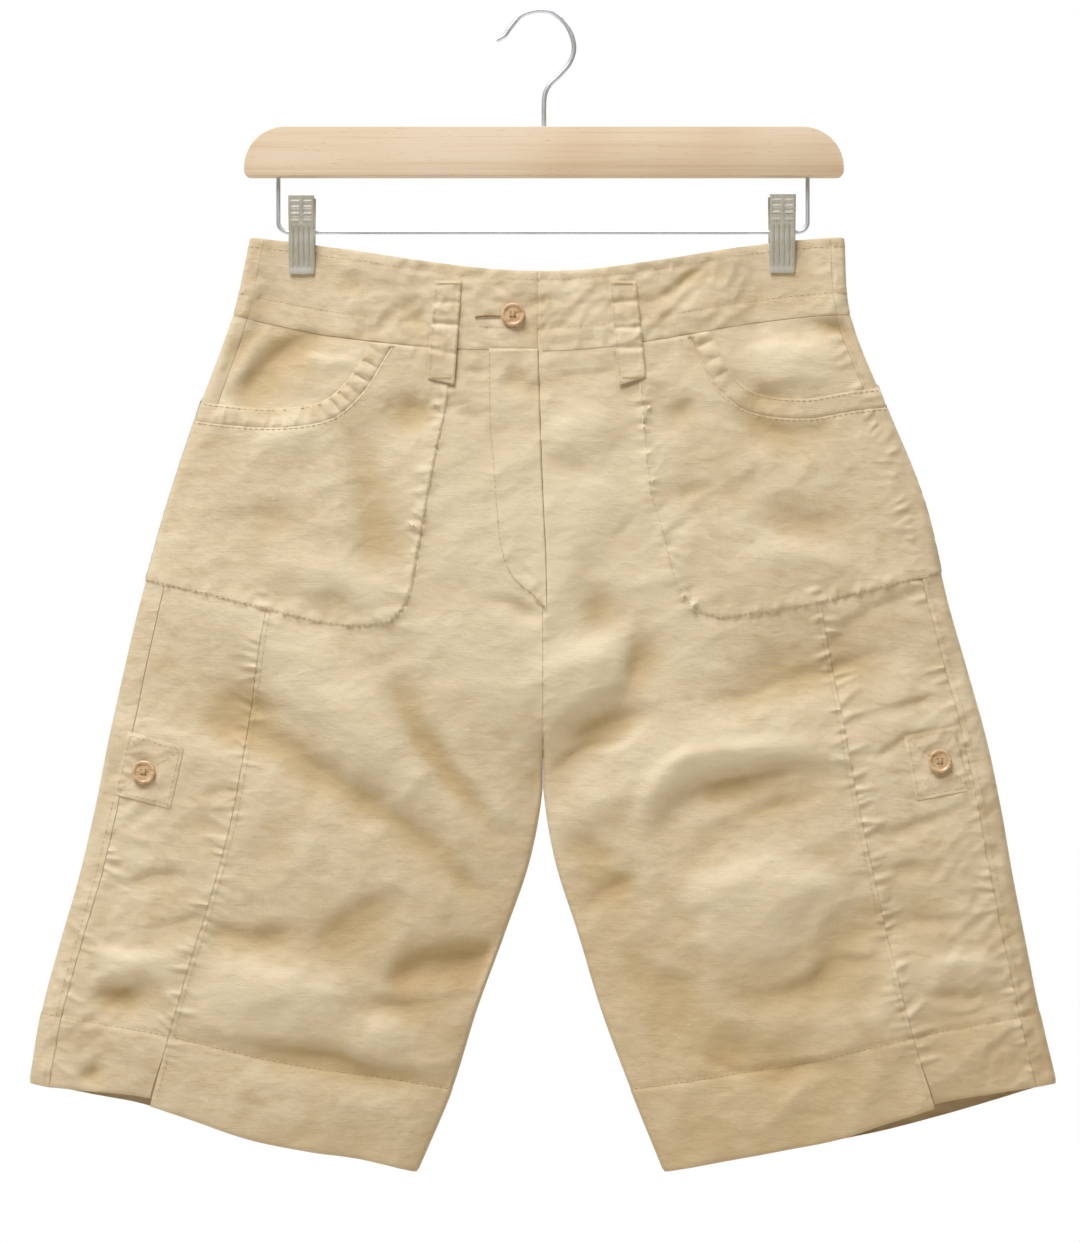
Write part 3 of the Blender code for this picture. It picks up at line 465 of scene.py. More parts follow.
def distances(points: Array) -> Array:
    """How far along a polyline each of its points is."""
    return np.concatenate([[0], np.cumsum(np.linalg.norm(np.diff(points, axis=0), axis=1))])


def even_points(points: Array, pitch: float) -> Array:
    """A polyline resampled at an even pitch, both ends kept.

    Args:
        points: The polyline.
        pitch: The step between new points.

    Returns:
        The new points.
    """
    away = distances(points)
    count = max(int(round(away[-1] / pitch)), 1)
    marks = np.linspace(0, away[-1], count + 1)
    return np.stack([np.interp(marks, away, column) for column in np.transpose(points)], axis=-1)


def beside(points: Sequence, distance: float) -> Array:
    """A polyline moved sideways, to the left of the way it runs.

    Args:
        points: The polyline.
        distance: How far it moves; less than 0 moves it to the right.

    Returns:
        The moved points.
    """
    line = np.asarray(points, float)
    along = np.gradient(line, axis=0)
    along /= np.linalg.norm(along, axis=1)[:, None]
    return line + distance * np.column_stack([-along[:, 1], along[:, 0]])


@dataclass
class Relief:
    """The creases, puckers and stitched grooves that lie over the form on one face.

    Attributes:
        lines: Each crease as its points, heights along it, width and lean.
        depth: The depth of creases as a share of what their slope gives.
        spread: Their width as a share of the stated one.
        lean: How much steeper than the other their lit side is.
        lit_side: The way to the lit side, across and up.
        waver: How unevenly deep a crease is along its line, and how often that changes.
        ends: How fast it grows from its ends, as a power.
        reach: How many widths away from its line a crease is still felt.
    """

    lines: list[tuple[Array, Array, float, float]] = field(default_factory=list)
    depth: float = 0.95
    spread: float = 1.25
    lean: float = 0.42
    lit_side: tuple = (-0.5, 0.86)
    waver: tuple = (0.22, 9)
    ends: float = 1.3
    reach: float = 2.6

    def add(self, points: Array, heights: Array, width: float, lean: float = 0.0) -> None:
        """Adds one crease.

        Args:
            points: Its line as (x, z) points.
            heights: Its height at each point.
            width: How far its side runs out.
            lean: From 0 to 1, how much steeper its lit side is.
        """
        self.lines.append((np.asarray(points, float), np.broadcast_to(heights, len(points)), width, lean))

    def fold(self, fold: Fold) -> None:
        """Adds one of the solids' folds, swelling in its middle.

        Args:
            fold: Its points, height and width.
        """
        share = np.linspace(0, 1, 11)
        start, middle, end = np.reshape(fold[:6], (3, 2))
        bend = 2 * middle - 0.5 * (start + end)
        t = share[:, None]
        line = (1 - t) ** 2 * start + 2 * t * (1 - t) * bend + t**2 * end
        self.add(line, fold.height * np.sin(np.pi * (0.08 + 0.84 * share)), fold.width)

    def crease(self, crease: Crease, uneven: float) -> None:
        """Adds one crease, crisper on its upper side and fading out past both ends.

        Args:
            crease: Its points, slope and width.
            uneven: Where its wavering starts.
        """
        line, width = smooth_curve(crease.points, 14), self.spread * crease.width
        onward = line[[0, -1]] - line[[1, -2]]
        ends = line[[0, -1]] + crease.width * onward / np.linalg.norm(onward, axis=1)[:, None]
        line = np.vstack([ends[:1], line, ends[1:]])
        away = distances(line)
        share = away / away[-1]
        waver = 1 + self.waver[0] * np.sin(self.waver[1] * share + uneven)
        swell = (4 * share * (1 - share)) ** self.ends * waver
        self.add(line, -self.depth * crease.slope * width * swell, width, self.lean)

    def height(self, x: Array, z: Array) -> Array:
        """How far everything stands out, at points in the (x, z) plane.

        Args:
            x: Where the points are across.
            z: Where they are in height.

        Returns:
            Heights of the shape of x.
        """
        spots = np.column_stack([np.ravel(x), np.ravel(z)])
        total = np.zeros(len(spots))
        for line, heights, width, lean in self.lines:
            low, high = line.min(axis=0) - self.reach * width, line.max(axis=0) + self.reach * width
            near = np.nonzero(((spots > low) & (spots < high)).all(axis=1))[0]
            if len(near):
                total[near] += self.lift_of(spots[near], line, heights, width, lean)
        return total.reshape(np.shape(x))

    def lift_of(self, spots: Array, line: Array, heights: Array, width: float, lean: float) -> Array:
        """The height that one crease gives each spot.

        Args:
            spots: Points of the (x, z) plane.
            line: The crease's points.
            heights: Its height at each.
            width: Its width.
            lean: How much crisper it is on its upper side.

        Returns:
            A height for each spot.
        """
        begin, way = line[:-1], np.diff(line, axis=0)
        to_spot = spots[:, None, :] - begin[None]
        length = np.maximum((way**2).sum(axis=1), 1e-9)
        t = np.clip((to_spot * way[None]).sum(axis=2) / length, 0, 1)
        off = to_spot - t[..., None] * way[None]
        distance = np.hypot(off[..., 0], off[..., 1])
        nearest = distance.argmin(axis=1)
        pick = np.arange(len(spots)), nearest
        side = off[pick] @ np.array(self.lit_side) / np.maximum(distance[pick], 1e-9)
        reach = width * (1 - lean * side)
        tall = heights[nearest] + (heights[nearest + 1] - heights[nearest]) * t[pick]
        return tall * np.exp(-((distance[pick] / reach) ** 2))


@dataclass
class Crumple:
    """The small uneven crumples of washed cloth: soft lumps between sharper ridges.

    Attributes:
        seed: Sets where they lie.
        octaves: For each size of crumple its pitch, height and turn.
        squeeze: Its pitch in height as a share of that across.
    """

    seed: int
    octaves: tuple = ((64.0, 3.6, 0.45), (27.0, 0.8, 1.3), (9.0, 0.2, 2.5))
    squeeze: float = 0.66
    lattice: int = 64

    def height(self, x: Array, z: Array) -> Array:
        """How far the crumples stand out at points of the (x, z) plane.

        Args:
            x: Where the points are across.
            z: Where they are in height.

        Returns:
            Heights of the shape of x.
        """
        total = np.zeros(np.shape(x))
        for pitch, tall, turn in self.octaves:
            across = (x * math.cos(turn) + z * math.sin(turn)) / pitch
            down = (z * math.cos(turn) - x * math.sin(turn)) / (pitch * self.squeeze)
            total += tall * (0.24 - np.abs(self.wave(across, down, int(pitch))))
        return total

    def wave(self, across: Array, down: Array, salt: int) -> Array:
        """Smooth noise around 0 with a pitch of 1.

        Args:
            across: Places one way.
            down: Places the other way.
            salt: Tells one lattice from another.

        Returns:
            Heights, most of them from -0.7 to 0.7.
        """
        angle = np.random.default_rng([self.seed, salt]).uniform(0, 2 * np.pi, (self.lattice, self.lattice))
        column, row = np.floor(across).astype(int), np.floor(down).astype(int)
        right, below = across - column, down - row
        ease = [t**3 * (t * (t * 6 - 15) + 10) for t in (right, below)]
        total = np.zeros(np.shape(across))
        for step in (0, 1):
            for drop in (0, 1):
                way = angle[(column + step) % self.lattice, (row + drop) % self.lattice]
                slope = np.cos(way) * (right - step) + np.sin(way) * (below - drop)
                share = (ease[0] if step else 1 - ease[0]) * (ease[1] if drop else 1 - ease[1])
                total += slope * share
        return total


class PuckerRun(NamedTuple):
    """Puckers along a seam; side is 1 for left of its way, -1 for right and 0 for both."""

    points: Array
    spacing: float
    reach: float
    height: float
    side: float


@dataclass(frozen=True)
class Puckers:
    """Uneven small ridges square to a seam.

    Attributes:
        step: How finely the seam is followed.
        slant: How far they turn from square.
        reaches: The least and most of their reach, as shares of the run's.
        heights: The same of their height.
        gaps: The same of their spacing.
        widths: Their least and most width.
        foot: How far from the seam they start.
        profile: Their height at their start, middle and end.
    """

    step: float = 0.5
    slant: float = 0.28
    reaches: tuple = (0.45, 1.35)
    heights: tuple = (0.4, 1.3)
    gaps: tuple = (0.6, 1.5)
    widths: tuple = (1.3, 2.1)
    foot: float = 0.6
    profile: tuple = (0.9, 0.7, 0.0)

    def add(self, relief: Relief, run: PuckerRun, chance: np.random.Generator) -> None:
        """Adds the puckers of one seam.

        Args:
            relief: What they are added to.
            run: The seam and the measure of its puckers.
            chance: Where their unevenness comes from.
        """
        line = even_points(np.asarray(run.points, float), self.step)
        ways = np.gradient(line, axis=0)
        ways /= np.linalg.norm(ways, axis=1)[:, None]
        place = chance.uniform(0, run.spacing)
        while place < self.step * (len(line) - 1):
            index = int(place / self.step)
            aslant = chance.normal(0, self.slant)
            square = np.array([-ways[index, 1], ways[index, 0]])
            side = run.side if run.side else chance.choice([-1.0, 1.0])
            out = side * square + aslant * ways[index]
            reach = run.reach * chance.uniform(*self.reaches)
            tall = run.height * chance.uniform(*self.heights)
            offsets = np.array([self.foot * side * square, 0.5 * reach * out, reach * out])
            relief.add(line[index] + offsets, tall * np.array(self.profile), chance.uniform(*self.widths))
            place += run.spacing * chance.uniform(*self.gaps)


@dataclass(frozen=True)
class Form:
    """The hung shape of the cloth, the same as the solids'.

    A half's girth runs from 0 at the centre front or inseam through 1 at the side fold to 2 at the
    centre back or inseam, and a row from 0 at the waist to 11 at the hem.
    """

    fold_radius: float = 2.6
    hip_fullness: float = 0.62
    leg_fullness: float = 0.6
    full_fold_depth: float = 8.0
    leg_start_row: float = 4.7
    crotch_row: float = 6.0
    hem_dip_row: float = 9.0
    clip_depth: float = 1.6
    clip_z: float = -150.0
    clip_across: tuple = (13, 24)
    clip_down: tuple = (24, 60)
    normal_step: float = 0.006
    folds: dict = field(default_factory=dict)

    @staticmethod
    def section(row: Array) -> Section:
        """The measures of rows, each an array of the shape of row."""
        return Section(*np.moveaxis(catmull_rom(SECTIONS, row), -1, 0))

    def sides(self, half: Array, row: Array) -> tuple[Array, Array, Array, Section]:
        """The sag, the outer and the inner reach of a half at rows, and the whole section.

        Args:
            half: -1 or 1 for each point.
            row: The row of each.

        Returns:
            The sag, the two reaches and the section.
        """
        part = self.section(row)
        right = np.asarray(half) < 0
        inner = np.maximum(np.where(right, part.inner_right, part.inner_left), SEAM_GAP / 2)
        outer = np.where(right, part.outer_right, part.outer_left)
        return np.where(right, part.sag_right, part.sag_left), outer, inner, part

    def leg(self, row: Array) -> Array:
        """How far a row is a leg's tube, from 0 to 1."""
        return smooth_step(self.leg_start_row, self.crotch_row, row)

    def plane(self, half: Array, girth: Array, row: Array) -> tuple[Array, Array, Array]:
        """Where the cloth lies as seen from the front.

        Args:
            half: -1 or 1 for each point.
            girth: The girth of each point.
            row: The row of each point.

        Returns:
            x, z and the share of the way out to the side fold.
        """
        front = girth <= 1
        share = (1 - np.cos(np.pi * np.where(front, girth, 2 - girth))) / 2
        sag, outer, inner, part = self.sides(half, row)
        leg, rise = self.leg(row), 1 - sag
        hip_line = (8 * rise - 1) * share**2 + (2 - 8 * rise) * share**3
        leg_line = (4 * rise - 1) * share + (2 - 4 * rise) * share**2
        z = part.z_inner + (part.z_outer - part.z_inner) * ((1 - leg) * hip_line + leg * leg_line)
        dips = np.moveaxis(catmull_rom(HEM_DIPS, share * (len(HEM_DIPS) - 1)), -1, 0)
        right = np.asarray(half) < 0
        dip = np.where(front, np.where(right, dips[0], dips[1]), np.where(right, dips[2], dips[3]))
        z = z - dip * smooth_step(self.hem_dip_row, LAST_ROW, row)
        return half * (inner + (outer - inner) * share), z, share

    def nose(self, distance: Array) -> Array:
        """Rise of a fold's round edge at a distance in from it."""
        return np.sqrt(np.maximum(1 - np.maximum(1 - distance / self.fold_radius, 0) ** 2, 0))

    def grip(self, x: Array, z: Array) -> Array:
        """How firmly a clip holds the cloth flat, from 0 to 1.

        Args:
            x: Where the points are across.
            z: Where they are in height.

        Returns:
            A share for each point.
        """
        firm = np.zeros(np.shape(x))
        for clip in CLIPS:
            held = plateau(x - clip.x, *self.clip_across) * plateau(z - self.clip_z, *self.clip_down)
            firm = np.maximum(firm, held)
        return firm

    def skin(self, half: Array, girth: Array, row: Array) -> Array:
        """Points of the outer face of the solids' walls.

        Args:
            half: -1 or 1 for each point.
            girth: How far each is round its half.
            row: The row of each.

        Returns:
            The points, in millimetres.
        """
        half, girth, row = np.broadcast_arrays(np.asarray(half, float), girth, row)
        x, z, share = self.plane(half, girth, row)
        _, outer, inner, part = self.sides(half, row)
        leg, width = self.leg(row), outer - inner
        side = self.nose(width * (1 - share))
        crown = part.depth - self.fold_radius
        hip = self.fold_radius * side + crown * (1 - share**2) ** self.hip_fullness
        tube = self.fold_radius * np.minimum(side, self.nose(width * share))
        tube = tube + crown * np.maximum(4 * share * (1 - share), 0) ** self.leg_fullness
        off = (1 - leg) * hip + leg * tube
        front = girth <= 1
        swell = np.where(front, self.folds[Face.FRONT].height(x, z), self.folds[Face.BACK].height(x, z))
        off = off + swell * np.minimum(off / self.full_fold_depth, 1) * smooth_step(1, 1.5, row)
        off = off + (self.clip_depth - off) * self.grip(x, z)
        off = np.maximum(off, np.where(share < 0.5, SEAM_GAP / 2, 0))
        return np.stack([x, np.where(front, -off, off), z], axis=-1)

    def facing(self, half: Array, girth: Array, row: Array) -> Array:
        """The outward direction of the skin at points.

        Args:
            half: -1 or 1 for each point.
            girth: How far each is round its half.
            row: The row of each.

        Returns:
            A unit vector for each.
        """
        half, girth, row = np.broadcast_arrays(np.asarray(half, float), girth, row)
        step = self.normal_step
        high, low = np.minimum(girth + step, 2), np.maximum(girth - step, 0)
        down, up = np.minimum(row + step, LAST_ROW), np.maximum(row - step, 0)
        across = self.skin(half, high, row) - self.skin(half, low, row)
        along = self.skin(half, girth, down) - self.skin(half, girth, up)
        out = -half[..., None] * np.cross(across, along)
        leg = self.leg(row)
        seam = np.stack([-half * leg, np.where(girth < 1, leg - 1, 1 - leg), np.zeros_like(leg)], axis=-1)
        out = np.where((np.minimum(girth, 2 - girth) < 1e-6)[..., None], seam, out)
        return out / np.maximum(np.linalg.norm(out, axis=-1, keepdims=True), 1e-12)

    def columns(self, half: Array, row: Array, column: Array) -> Array:
        """The girth of columns of the wall at rows, whole columns being the solids' own.

        Args:
            half: -1 or 1, or one for each point.
            row: The row of each.
            column: The column of each.

        Returns:
            The girth of each.
        """
        settle = smooth_step(1, POCKET_HEM_ROW, row)
        _, outer, inner, _ = self.sides(half, row)
        width = outer - inner
        noses = [distance / width for distance in NOSE_COLUMNS]
        front = [c.waist + (c.leg - c.waist) * settle for c in FRONT_COLUMNS]
        back = [c.waist + (c.leg - c.waist) * settle for c in BACK_COLUMNS]
        zero, one = np.zeros_like(width), np.ones_like(width)
        shares = [zero, *noses, *front, 1 - noses[1], 1 - noses[0], one]
        girths = [np.arccos(1 - 2 * share) / np.pi for share in shares]
        shares = [1 - noses[0], 1 - noses[1], *back, noses[1], noses[0], zero]
        girths += [2 - np.arccos(1 - 2 * share) / np.pi for share in shares]
        table = np.stack(girths, axis=-1)
        start = np.minimum(np.asarray(column).astype(int), LAST_COLUMN - 1)
        start = np.broadcast_to(start, np.shape(width))[..., None]
        here, there = (np.take_along_axis(table, start + step, axis=-1)[..., 0] for step in (0, 1))
        return here + (there - here) * (column - start[..., 0])

    def locate(self, x: Array, z: Array, face: Face = Face.FRONT) -> tuple[Array, Array, Array]:
        """The half, girth and row of the skin behind points of the (x, z) plane.

        Args:
            x: Where the points are across.
            z: Where they are in height.
            face: Which face they lie on.

        Returns:
            half, girth and row, each of the shape of x.
        """
        x, z = np.broadcast_arrays(np.asarray(x, float), np.asarray(z, float))
        half = np.where(x < 0, -1.0, 1.0)
        share = np.full(x.shape, 0.5)
        for _ in range(9):
            girth = self.girth_of(share, face)
            low, high = np.zeros(x.shape), np.full(x.shape, float(LAST_ROW))
            for _ in range(16):
                row = (low + high) / 2
                above = self.plane(half, girth, row)[1] > z
                low, high = np.where(above, row, low), np.where(above, high, row)
            _, outer, inner, _ = self.sides(half, row)
            here = self.plane(half, girth, row)[0]
            share = np.clip(share + (np.abs(x) - np.abs(here)) / (outer - inner), 0, 1)
        return half, self.girth_of(share, face), row

    @staticmethod
    def girth_of(share: Array, face: Face) -> Array:
        """The girth of a share of the way out, on a face."""
        girth = np.arccos(1 - 2 * np.clip(share, 0, 1)) / np.pi
        return girth if face is Face.FRONT else 2 - girth


class Cut(NamedTuple):
    """A piece of cloth laid out as a grid: half, girth, row and lift at each crossing."""

    half: Array
    girth: Array
    row: Array
    lift: Array


@dataclass
class Drape:
    """The form with its finer creases, which every layer of cloth and every stitch follows."""

    form: Form
    reliefs: dict[Face, Relief]
    crumples: dict[Face, Crumple]
    band_crumple: Crumple
    edge_fade: float = 7.0
    grip_share: float = 0.85
    # How much of the solids' folds joins the creases' height in painting shade and highlight into the cloth's
    # colour
    fold_shade_paint: float = 0.6

    def rise(self, half: Array, girth: Array, row: Array) -> Array:
        """How far the creases lift the cloth at points.

        Args:
            half: -1 or 1 for each point.
            girth: How far each is round its half.
            row: The row of each.

        Returns:
            A height for each, in millimetres.
        """
        x, z, share = self.form.plane(half, girth, row)
        _, outer, inner, _ = self.form.sides(half, row)
        width, leg = outer - inner, self.form.leg(row)
        fade = smooth_step(0, self.edge_fade, width * (1 - share))
        fade = fade * (1 - leg * (1 - smooth_step(0, self.edge_fade, width * share)))
        fade = fade * (1 - self.grip_share * self.form.grip(x, z))
        front, back = (self.reliefs[face].height(x, z) + self.crumples[face].height(x, z) for face in Face)
        below = smooth_step(0.96, 1.02, row) * (1 - 0.85 * smooth_step(0.76, 0.86, share) * leg)
        fine = self.band_crumple.height(x + 30 * girth, z) * (1 - below)
        return (np.where(girth <= 1, front, back) + fine) * fade

    def points(self, cut: Cut) -> tuple[Array, Array]:
        """Where a cut piece lies, and its creases' height there, with a share of the folds' that paints shade
        and highlight into the cloth's colour.

        Args:
            cut: The grid of the piece.

        Returns:
            Points in millimetres, and the height of the creases at each with the folds' share added, for the
            painted shade and highlight.
        """
        rise = self.rise(cut.half, cut.girth, cut.row)
        out = self.form.facing(cut.half, cut.girth, cut.row)
        x, z, _ = self.form.plane(cut.half, cut.girth, cut.row)
        folds = [self.form.folds[face].height(x, z) for face in Face]
        points = self.form.skin(cut.half, cut.girth, cut.row) + (cut.lift + rise)[..., None] * out
        # The second value paints shade into troughs and highlight onto ridges through the cloth's rise
        # attribute
        return points, rise + self.fold_shade_paint * np.where(cut.girth <= 1, *folds)


def make_drape() -> Drape:
    """The form and reliefs of the whole garment.

    Returns:
        The drape.
    """
    folds = {face: Relief() for face in Face}
    creases = {face: Relief() for face in Face}
    chance = np.random.default_rng(SEED)
    for face, fold_table, crease_table in ((Face.FRONT, FRONT_FOLDS, FRONT_CREASES),
                                           (Face.BACK, BACK_FOLDS, BACK_CREASES)):
        for fold in fold_table:
            folds[face].fold(fold)
        for crease in crease_table:
            creases[face].crease(crease, chance.uniform(0, 6))
    form = Form(folds=folds)
    for half in Half:
        add_front_puckers(creases[Face.FRONT], form, half, chance)
        add_back_puckers(creases[Face.BACK], form, half, chance)
    crumples = {face: Crumple(SEED + face.value) for face in Face}
    fine = Crumple(SEED + 5, ((17.0, 2.2, 0.7), (7.5, 0.7, 1.9)))
    return Drape(form, creases, crumples, fine)


def below_band(form: Form, line: Array) -> Array:
    """The part of a line of (x, z) points that lies under the waistband's seam.

    Args:
        form: The form that it lies on.
        line: Its points, from the waist down.

    Returns:
        Its points from the seam on.
    """
    _, _, row = form.locate(line[:, 0], line[:, 1])
    first = int((row >= BAND_FOOT_ROW).argmax())
    if first == 0:
        return line
    share = (BAND_FOOT_ROW - row[first - 1]) / (row[first] - row[first - 1])
    return np.vstack([line[first - 1] + share * (line[first] - line[first - 1]), line[first:]])


def line_on(form: Form, half: Half, column: float, first: float, last: float) -> Array:
    """A line down a column of the wall between two rows, as (x, z).

    Args:
        form: The form that it lies on.
        half: Which half it is.
        column: Its column.
        first: Its first row.
        last: Its last row.

    Returns:
        Its points.
    """
    row = np.linspace(first, last, 60)
    girth = form.columns(half.value, row, column)
    x, z, _ = form.plane(half.value, girth, row)
    return np.column_stack([x, z])


def line_across(form: Form, half: Half, row: float, first: float, last: float) -> Array:
    """A line along a row between two columns, as (x, z).

    Args:
        form: The form that it lies on.
        half: Which half it is.
        row: Its row.
        first: Its first column.
        last: Its last column.

    Returns:
        Its points.
    """
    column = np.linspace(first, last, 80)
    rows = np.full(80, row)
    x, z, _ = form.plane(half.value, form.columns(half.value, rows, column), rows)
    return np.column_stack([x, z])


def add_front_puckers(relief: Relief, form: Form, half: Half, chance: np.random.Generator) -> None:
    """Adds the puckers of one half's front seams.

    Args:
        relief: What they are added to.
        form: The form that the seams lie on.
        half: Which half it is.
        chance: Where their unevenness comes from.
    """
    outward = half.value
    edge = below_band(form, smooth_curve(POCKET_EDGE[half], 60))
    mouth = below_band(form, smooth_curve(POCKET_MOUTH[half], 40))[2:]
    side_start = 6.0 if half is Half.RIGHT else 1.2
    runs = (
        PuckerRun(edge[4:34], 4.0, 10, 1.8, outward),
        PuckerRun(edge[3:34], 9.0, 8, 0.8, -outward),
        PuckerRun(edge[30:], 7.0, 10, 1.3, outward),
        PuckerRun(edge[36:], 13, 14, 0.9, -outward),
        PuckerRun(mouth, 6.5, 10, 1.0 if half is Half.RIGHT else 0.4, outward),
        PuckerRun(line_on(form, half, PANEL_COLUMN, POCKET_HEM_ROW, 10.4), 5.2, 13, 1.5, 0),
        PuckerRun(line_on(form, half, SIDE_COLUMN, side_start, 10.8), 6.5, 12, 1.3, 0),
        PuckerRun(line_across(form, half, 0.14, 0, SIDE_COLUMN), 9, 7, 0.35, 0),
        PuckerRun(line_across(form, half, 0.74, 0, SIDE_COLUMN), 9, 8, 0.45, 0),
        PuckerRun(line_across(form, half, 1.0, 2, SIDE_COLUMN), 8, 9, 0.5, 0),
        PuckerRun(line_across(form, half, HEM_STITCH_ROW, 1, SIDE_COLUMN + 2), 9.5, 12, 0.55, 0),
        PuckerRun(line_on(form, half, 0, 3.6, 5.9), 9, 9, 0.55, 0),
    )
    for run in runs:
        Puckers().add(relief, run, chance)
    add_grooves(relief, form, half, 0, FOLD_COLUMN)
    if half is Half.RIGHT:
        Puckers().add(relief, PuckerRun(smooth_curve(FLY_STITCH, 40)[12:], 5.5, 9, 0.6, 0), chance)
        Puckers().add(relief, PuckerRun(smooth_curve(FLY_EDGE, 30), 13, 8, 0.3, 1), chance)


def add_back_puckers(relief: Relief, form: Form, half: Half, chance: np.random.Generator) -> None:
    """Adds the puckers of one half's back seams.

    Args:
        relief: What they are added to.
        form: The form that the seams lie on.
        half: Which half it is.
        chance: Where their unevenness comes from.
    """
    runs = (
        PuckerRun(line_on(form, half, LAST_COLUMN, 1.2, 5.8), 8, 10, 0.6, 0),
        PuckerRun(line_across(form, half, 0.14, FOLD_COLUMN + 2, LAST_COLUMN), 9, 7, 0.35, 0),
        PuckerRun(line_across(form, half, 0.74, FOLD_COLUMN + 2, LAST_COLUMN), 9, 8, 0.45, 0),
        PuckerRun(line_across(form, half, 1.0, FOLD_COLUMN + 2, LAST_COLUMN), 8, 10, 0.55, 0),
        PuckerRun(line_across(form, half, HEM_STITCH_ROW, FOLD_COLUMN + 2, LAST_COLUMN - 1), 9.5, 12,
                  0.55, 0),
    )
    for run in runs:
        Puckers().add(relief, run, chance)
    add_grooves(relief, form, half, FOLD_COLUMN, LAST_COLUMN)


def add_grooves(relief: Relief, form: Form, half: Half, first: float, last: float) -> None:
    """Presses in the band's and the hem's stitched rows between two columns."""
    for row in (*BAND_STITCH_ROWS, HEM_STITCH_ROW):
        relief.add(line_across(form, half, row, first, last), -0.5, 1.8)


# Shader building


class Signal:
    """One socket of a shader, so that sums are written as sums."""

    def __init__(self, shader: "Shader", socket: bpy.types.NodeSocket) -> None:
        """Keeps the socket and the shader that it belongs to."""
        self.shader = shader
        self.socket = socket

    def maths(self, operation: str, *others: "Signal | float") -> "Signal":
        """This socket and others through one Math node."""
        sockets = dict(enumerate([self, *others]))
        return self.shader.node("ShaderNodeMath", {"operation": operation}, sockets)

    def __add__(self, other: "Signal | float") -> "Signal":
        """self + other."""
        return self.maths("ADD", other)

    def __mul__(self, other: "Signal | float") -> "Signal":
        """self * other."""
        return self.maths("MULTIPLY", other)

    def sine(self) -> "Signal":
        """The sine of self."""
        return self.maths("SINE")

    def ramp(self, low: float, high: float, start: float = 0.0, end: float = 1.0) -> "Signal":
        """self eased from start at low to end at high."""
        sockets = {"Value": self, "From Min": low, "From Max": high, "To Min": start, "To Max": end}
        return self.shader.node("ShaderNodeMapRange", {"interpolation_type": "SMOOTHSTEP"}, sockets)


class Shader:
    """A material under construction, with its Principled shader."""

    def __init__(self, name: str) -> None:
        """Makes the material.

        Args:
            name: The material's name.
        """
        self.material = bpy.data.materials.new(name)
        self.material.use_nodes = True
        self.tree = self.material.node_tree
        self.principled = self.tree.nodes["Principled BSDF"]

    def node(self, kind: str, settings: dict | None = None, sockets: dict | None = None,
             output: int | str = 0) -> Signal:
        """Adds one node.

        Args:
            kind: The node's type.
            settings: Its own settings, set first.
            sockets: Values or signals by socket name or number.
            output: The output that is returned.

        Returns:
            That output as a signal.
        """
        made = self.tree.nodes.new(kind)
        for name, value in (settings or {}).items():
            setattr(made, name, value)
        for name, value in (sockets or {}).items():
            self.feed(made.inputs[name], value)
        return Signal(self, made.outputs[output])

    def feed(self, socket: bpy.types.NodeSocket, value: object) -> None:
        """Links a signal to a socket, or sets its value.

        Args:
            socket: The node's input.
            value: A signal, a number, a vector or a colour.
        """
        if isinstance(value, Signal):
            self.tree.links.new(value.socket, socket)
        else:
            socket.default_value = value

    def set(self, **values: object) -> None:
        """Sets the Principled shader's sockets, an underscore standing for a space."""
        for name, value in values.items():
            self.feed(self.principled.inputs[name.replace("_", " ")], value)

    def mix(self, share: Signal, first: object, second: object) -> Signal:
        """Two colours mixed."""
        return self.node("ShaderNodeMix", {"data_type": "RGBA"}, {0: share, 6: first, 7: second}, 2)

    def noise(self, place: Signal, scale: float, detail: float = 2.0, rough: float = 0.5) -> Signal:
        """Noise of a scale, around 0.5."""
        sockets = {"Vector": place, "Scale": scale, "Detail": detail, "Roughness": rough}
        return self.node("ShaderNodeTexNoise", None, sockets, "Fac")

    def mapped(self, place: Signal, scale: Sequence[float], turn: float = 0.0) -> Signal:
        """A place stretched by scale and turned about Z."""
        sockets = {"Vector": place, "Scale": scale, "Rotation": (0, 0, turn)}
        return self.node("ShaderNodeMapping", None, sockets)

    def bump(self, height: Signal, depth: float, under: Signal | None = None) -> Signal:
        """A bump of a depth in metres, over another one.

        Args:
            height: The signal that it follows.
            depth: How deep it is.
            under: The bump beneath it.

        Returns:
            The bent normal.
        """
        sockets = {"Height": height, "Distance": depth, "Strength": 1.0}
        if under is not None:
            sockets["Normal"] = under
        return self.node("ShaderNodeBump", None, sockets)

    def object_place(self) -> Signal:
        """Where a point is in the object's own space, in metres."""
        return self.node("ShaderNodeTexCoord", None, None, "Object")

    def split(self, place: Signal) -> list[Signal]:
        """The three parts of a vector."""
        parts = self.node("ShaderNodeSeparateXYZ", None, {"Vector": place})
        return [Signal(self, parts.socket.node.outputs[index]) for index in range(3)]


def linear(*channels: int) -> tuple[float, ...]:
    """A display colour's channels, from 0 to 255, as a linear colour."""
    parts = (channel / 255 for channel in channels)
    return *(part / 12.92 if part <= 0.04045 else ((part + 0.055) / 1.055) ** 2.4 for part in parts), 1.0


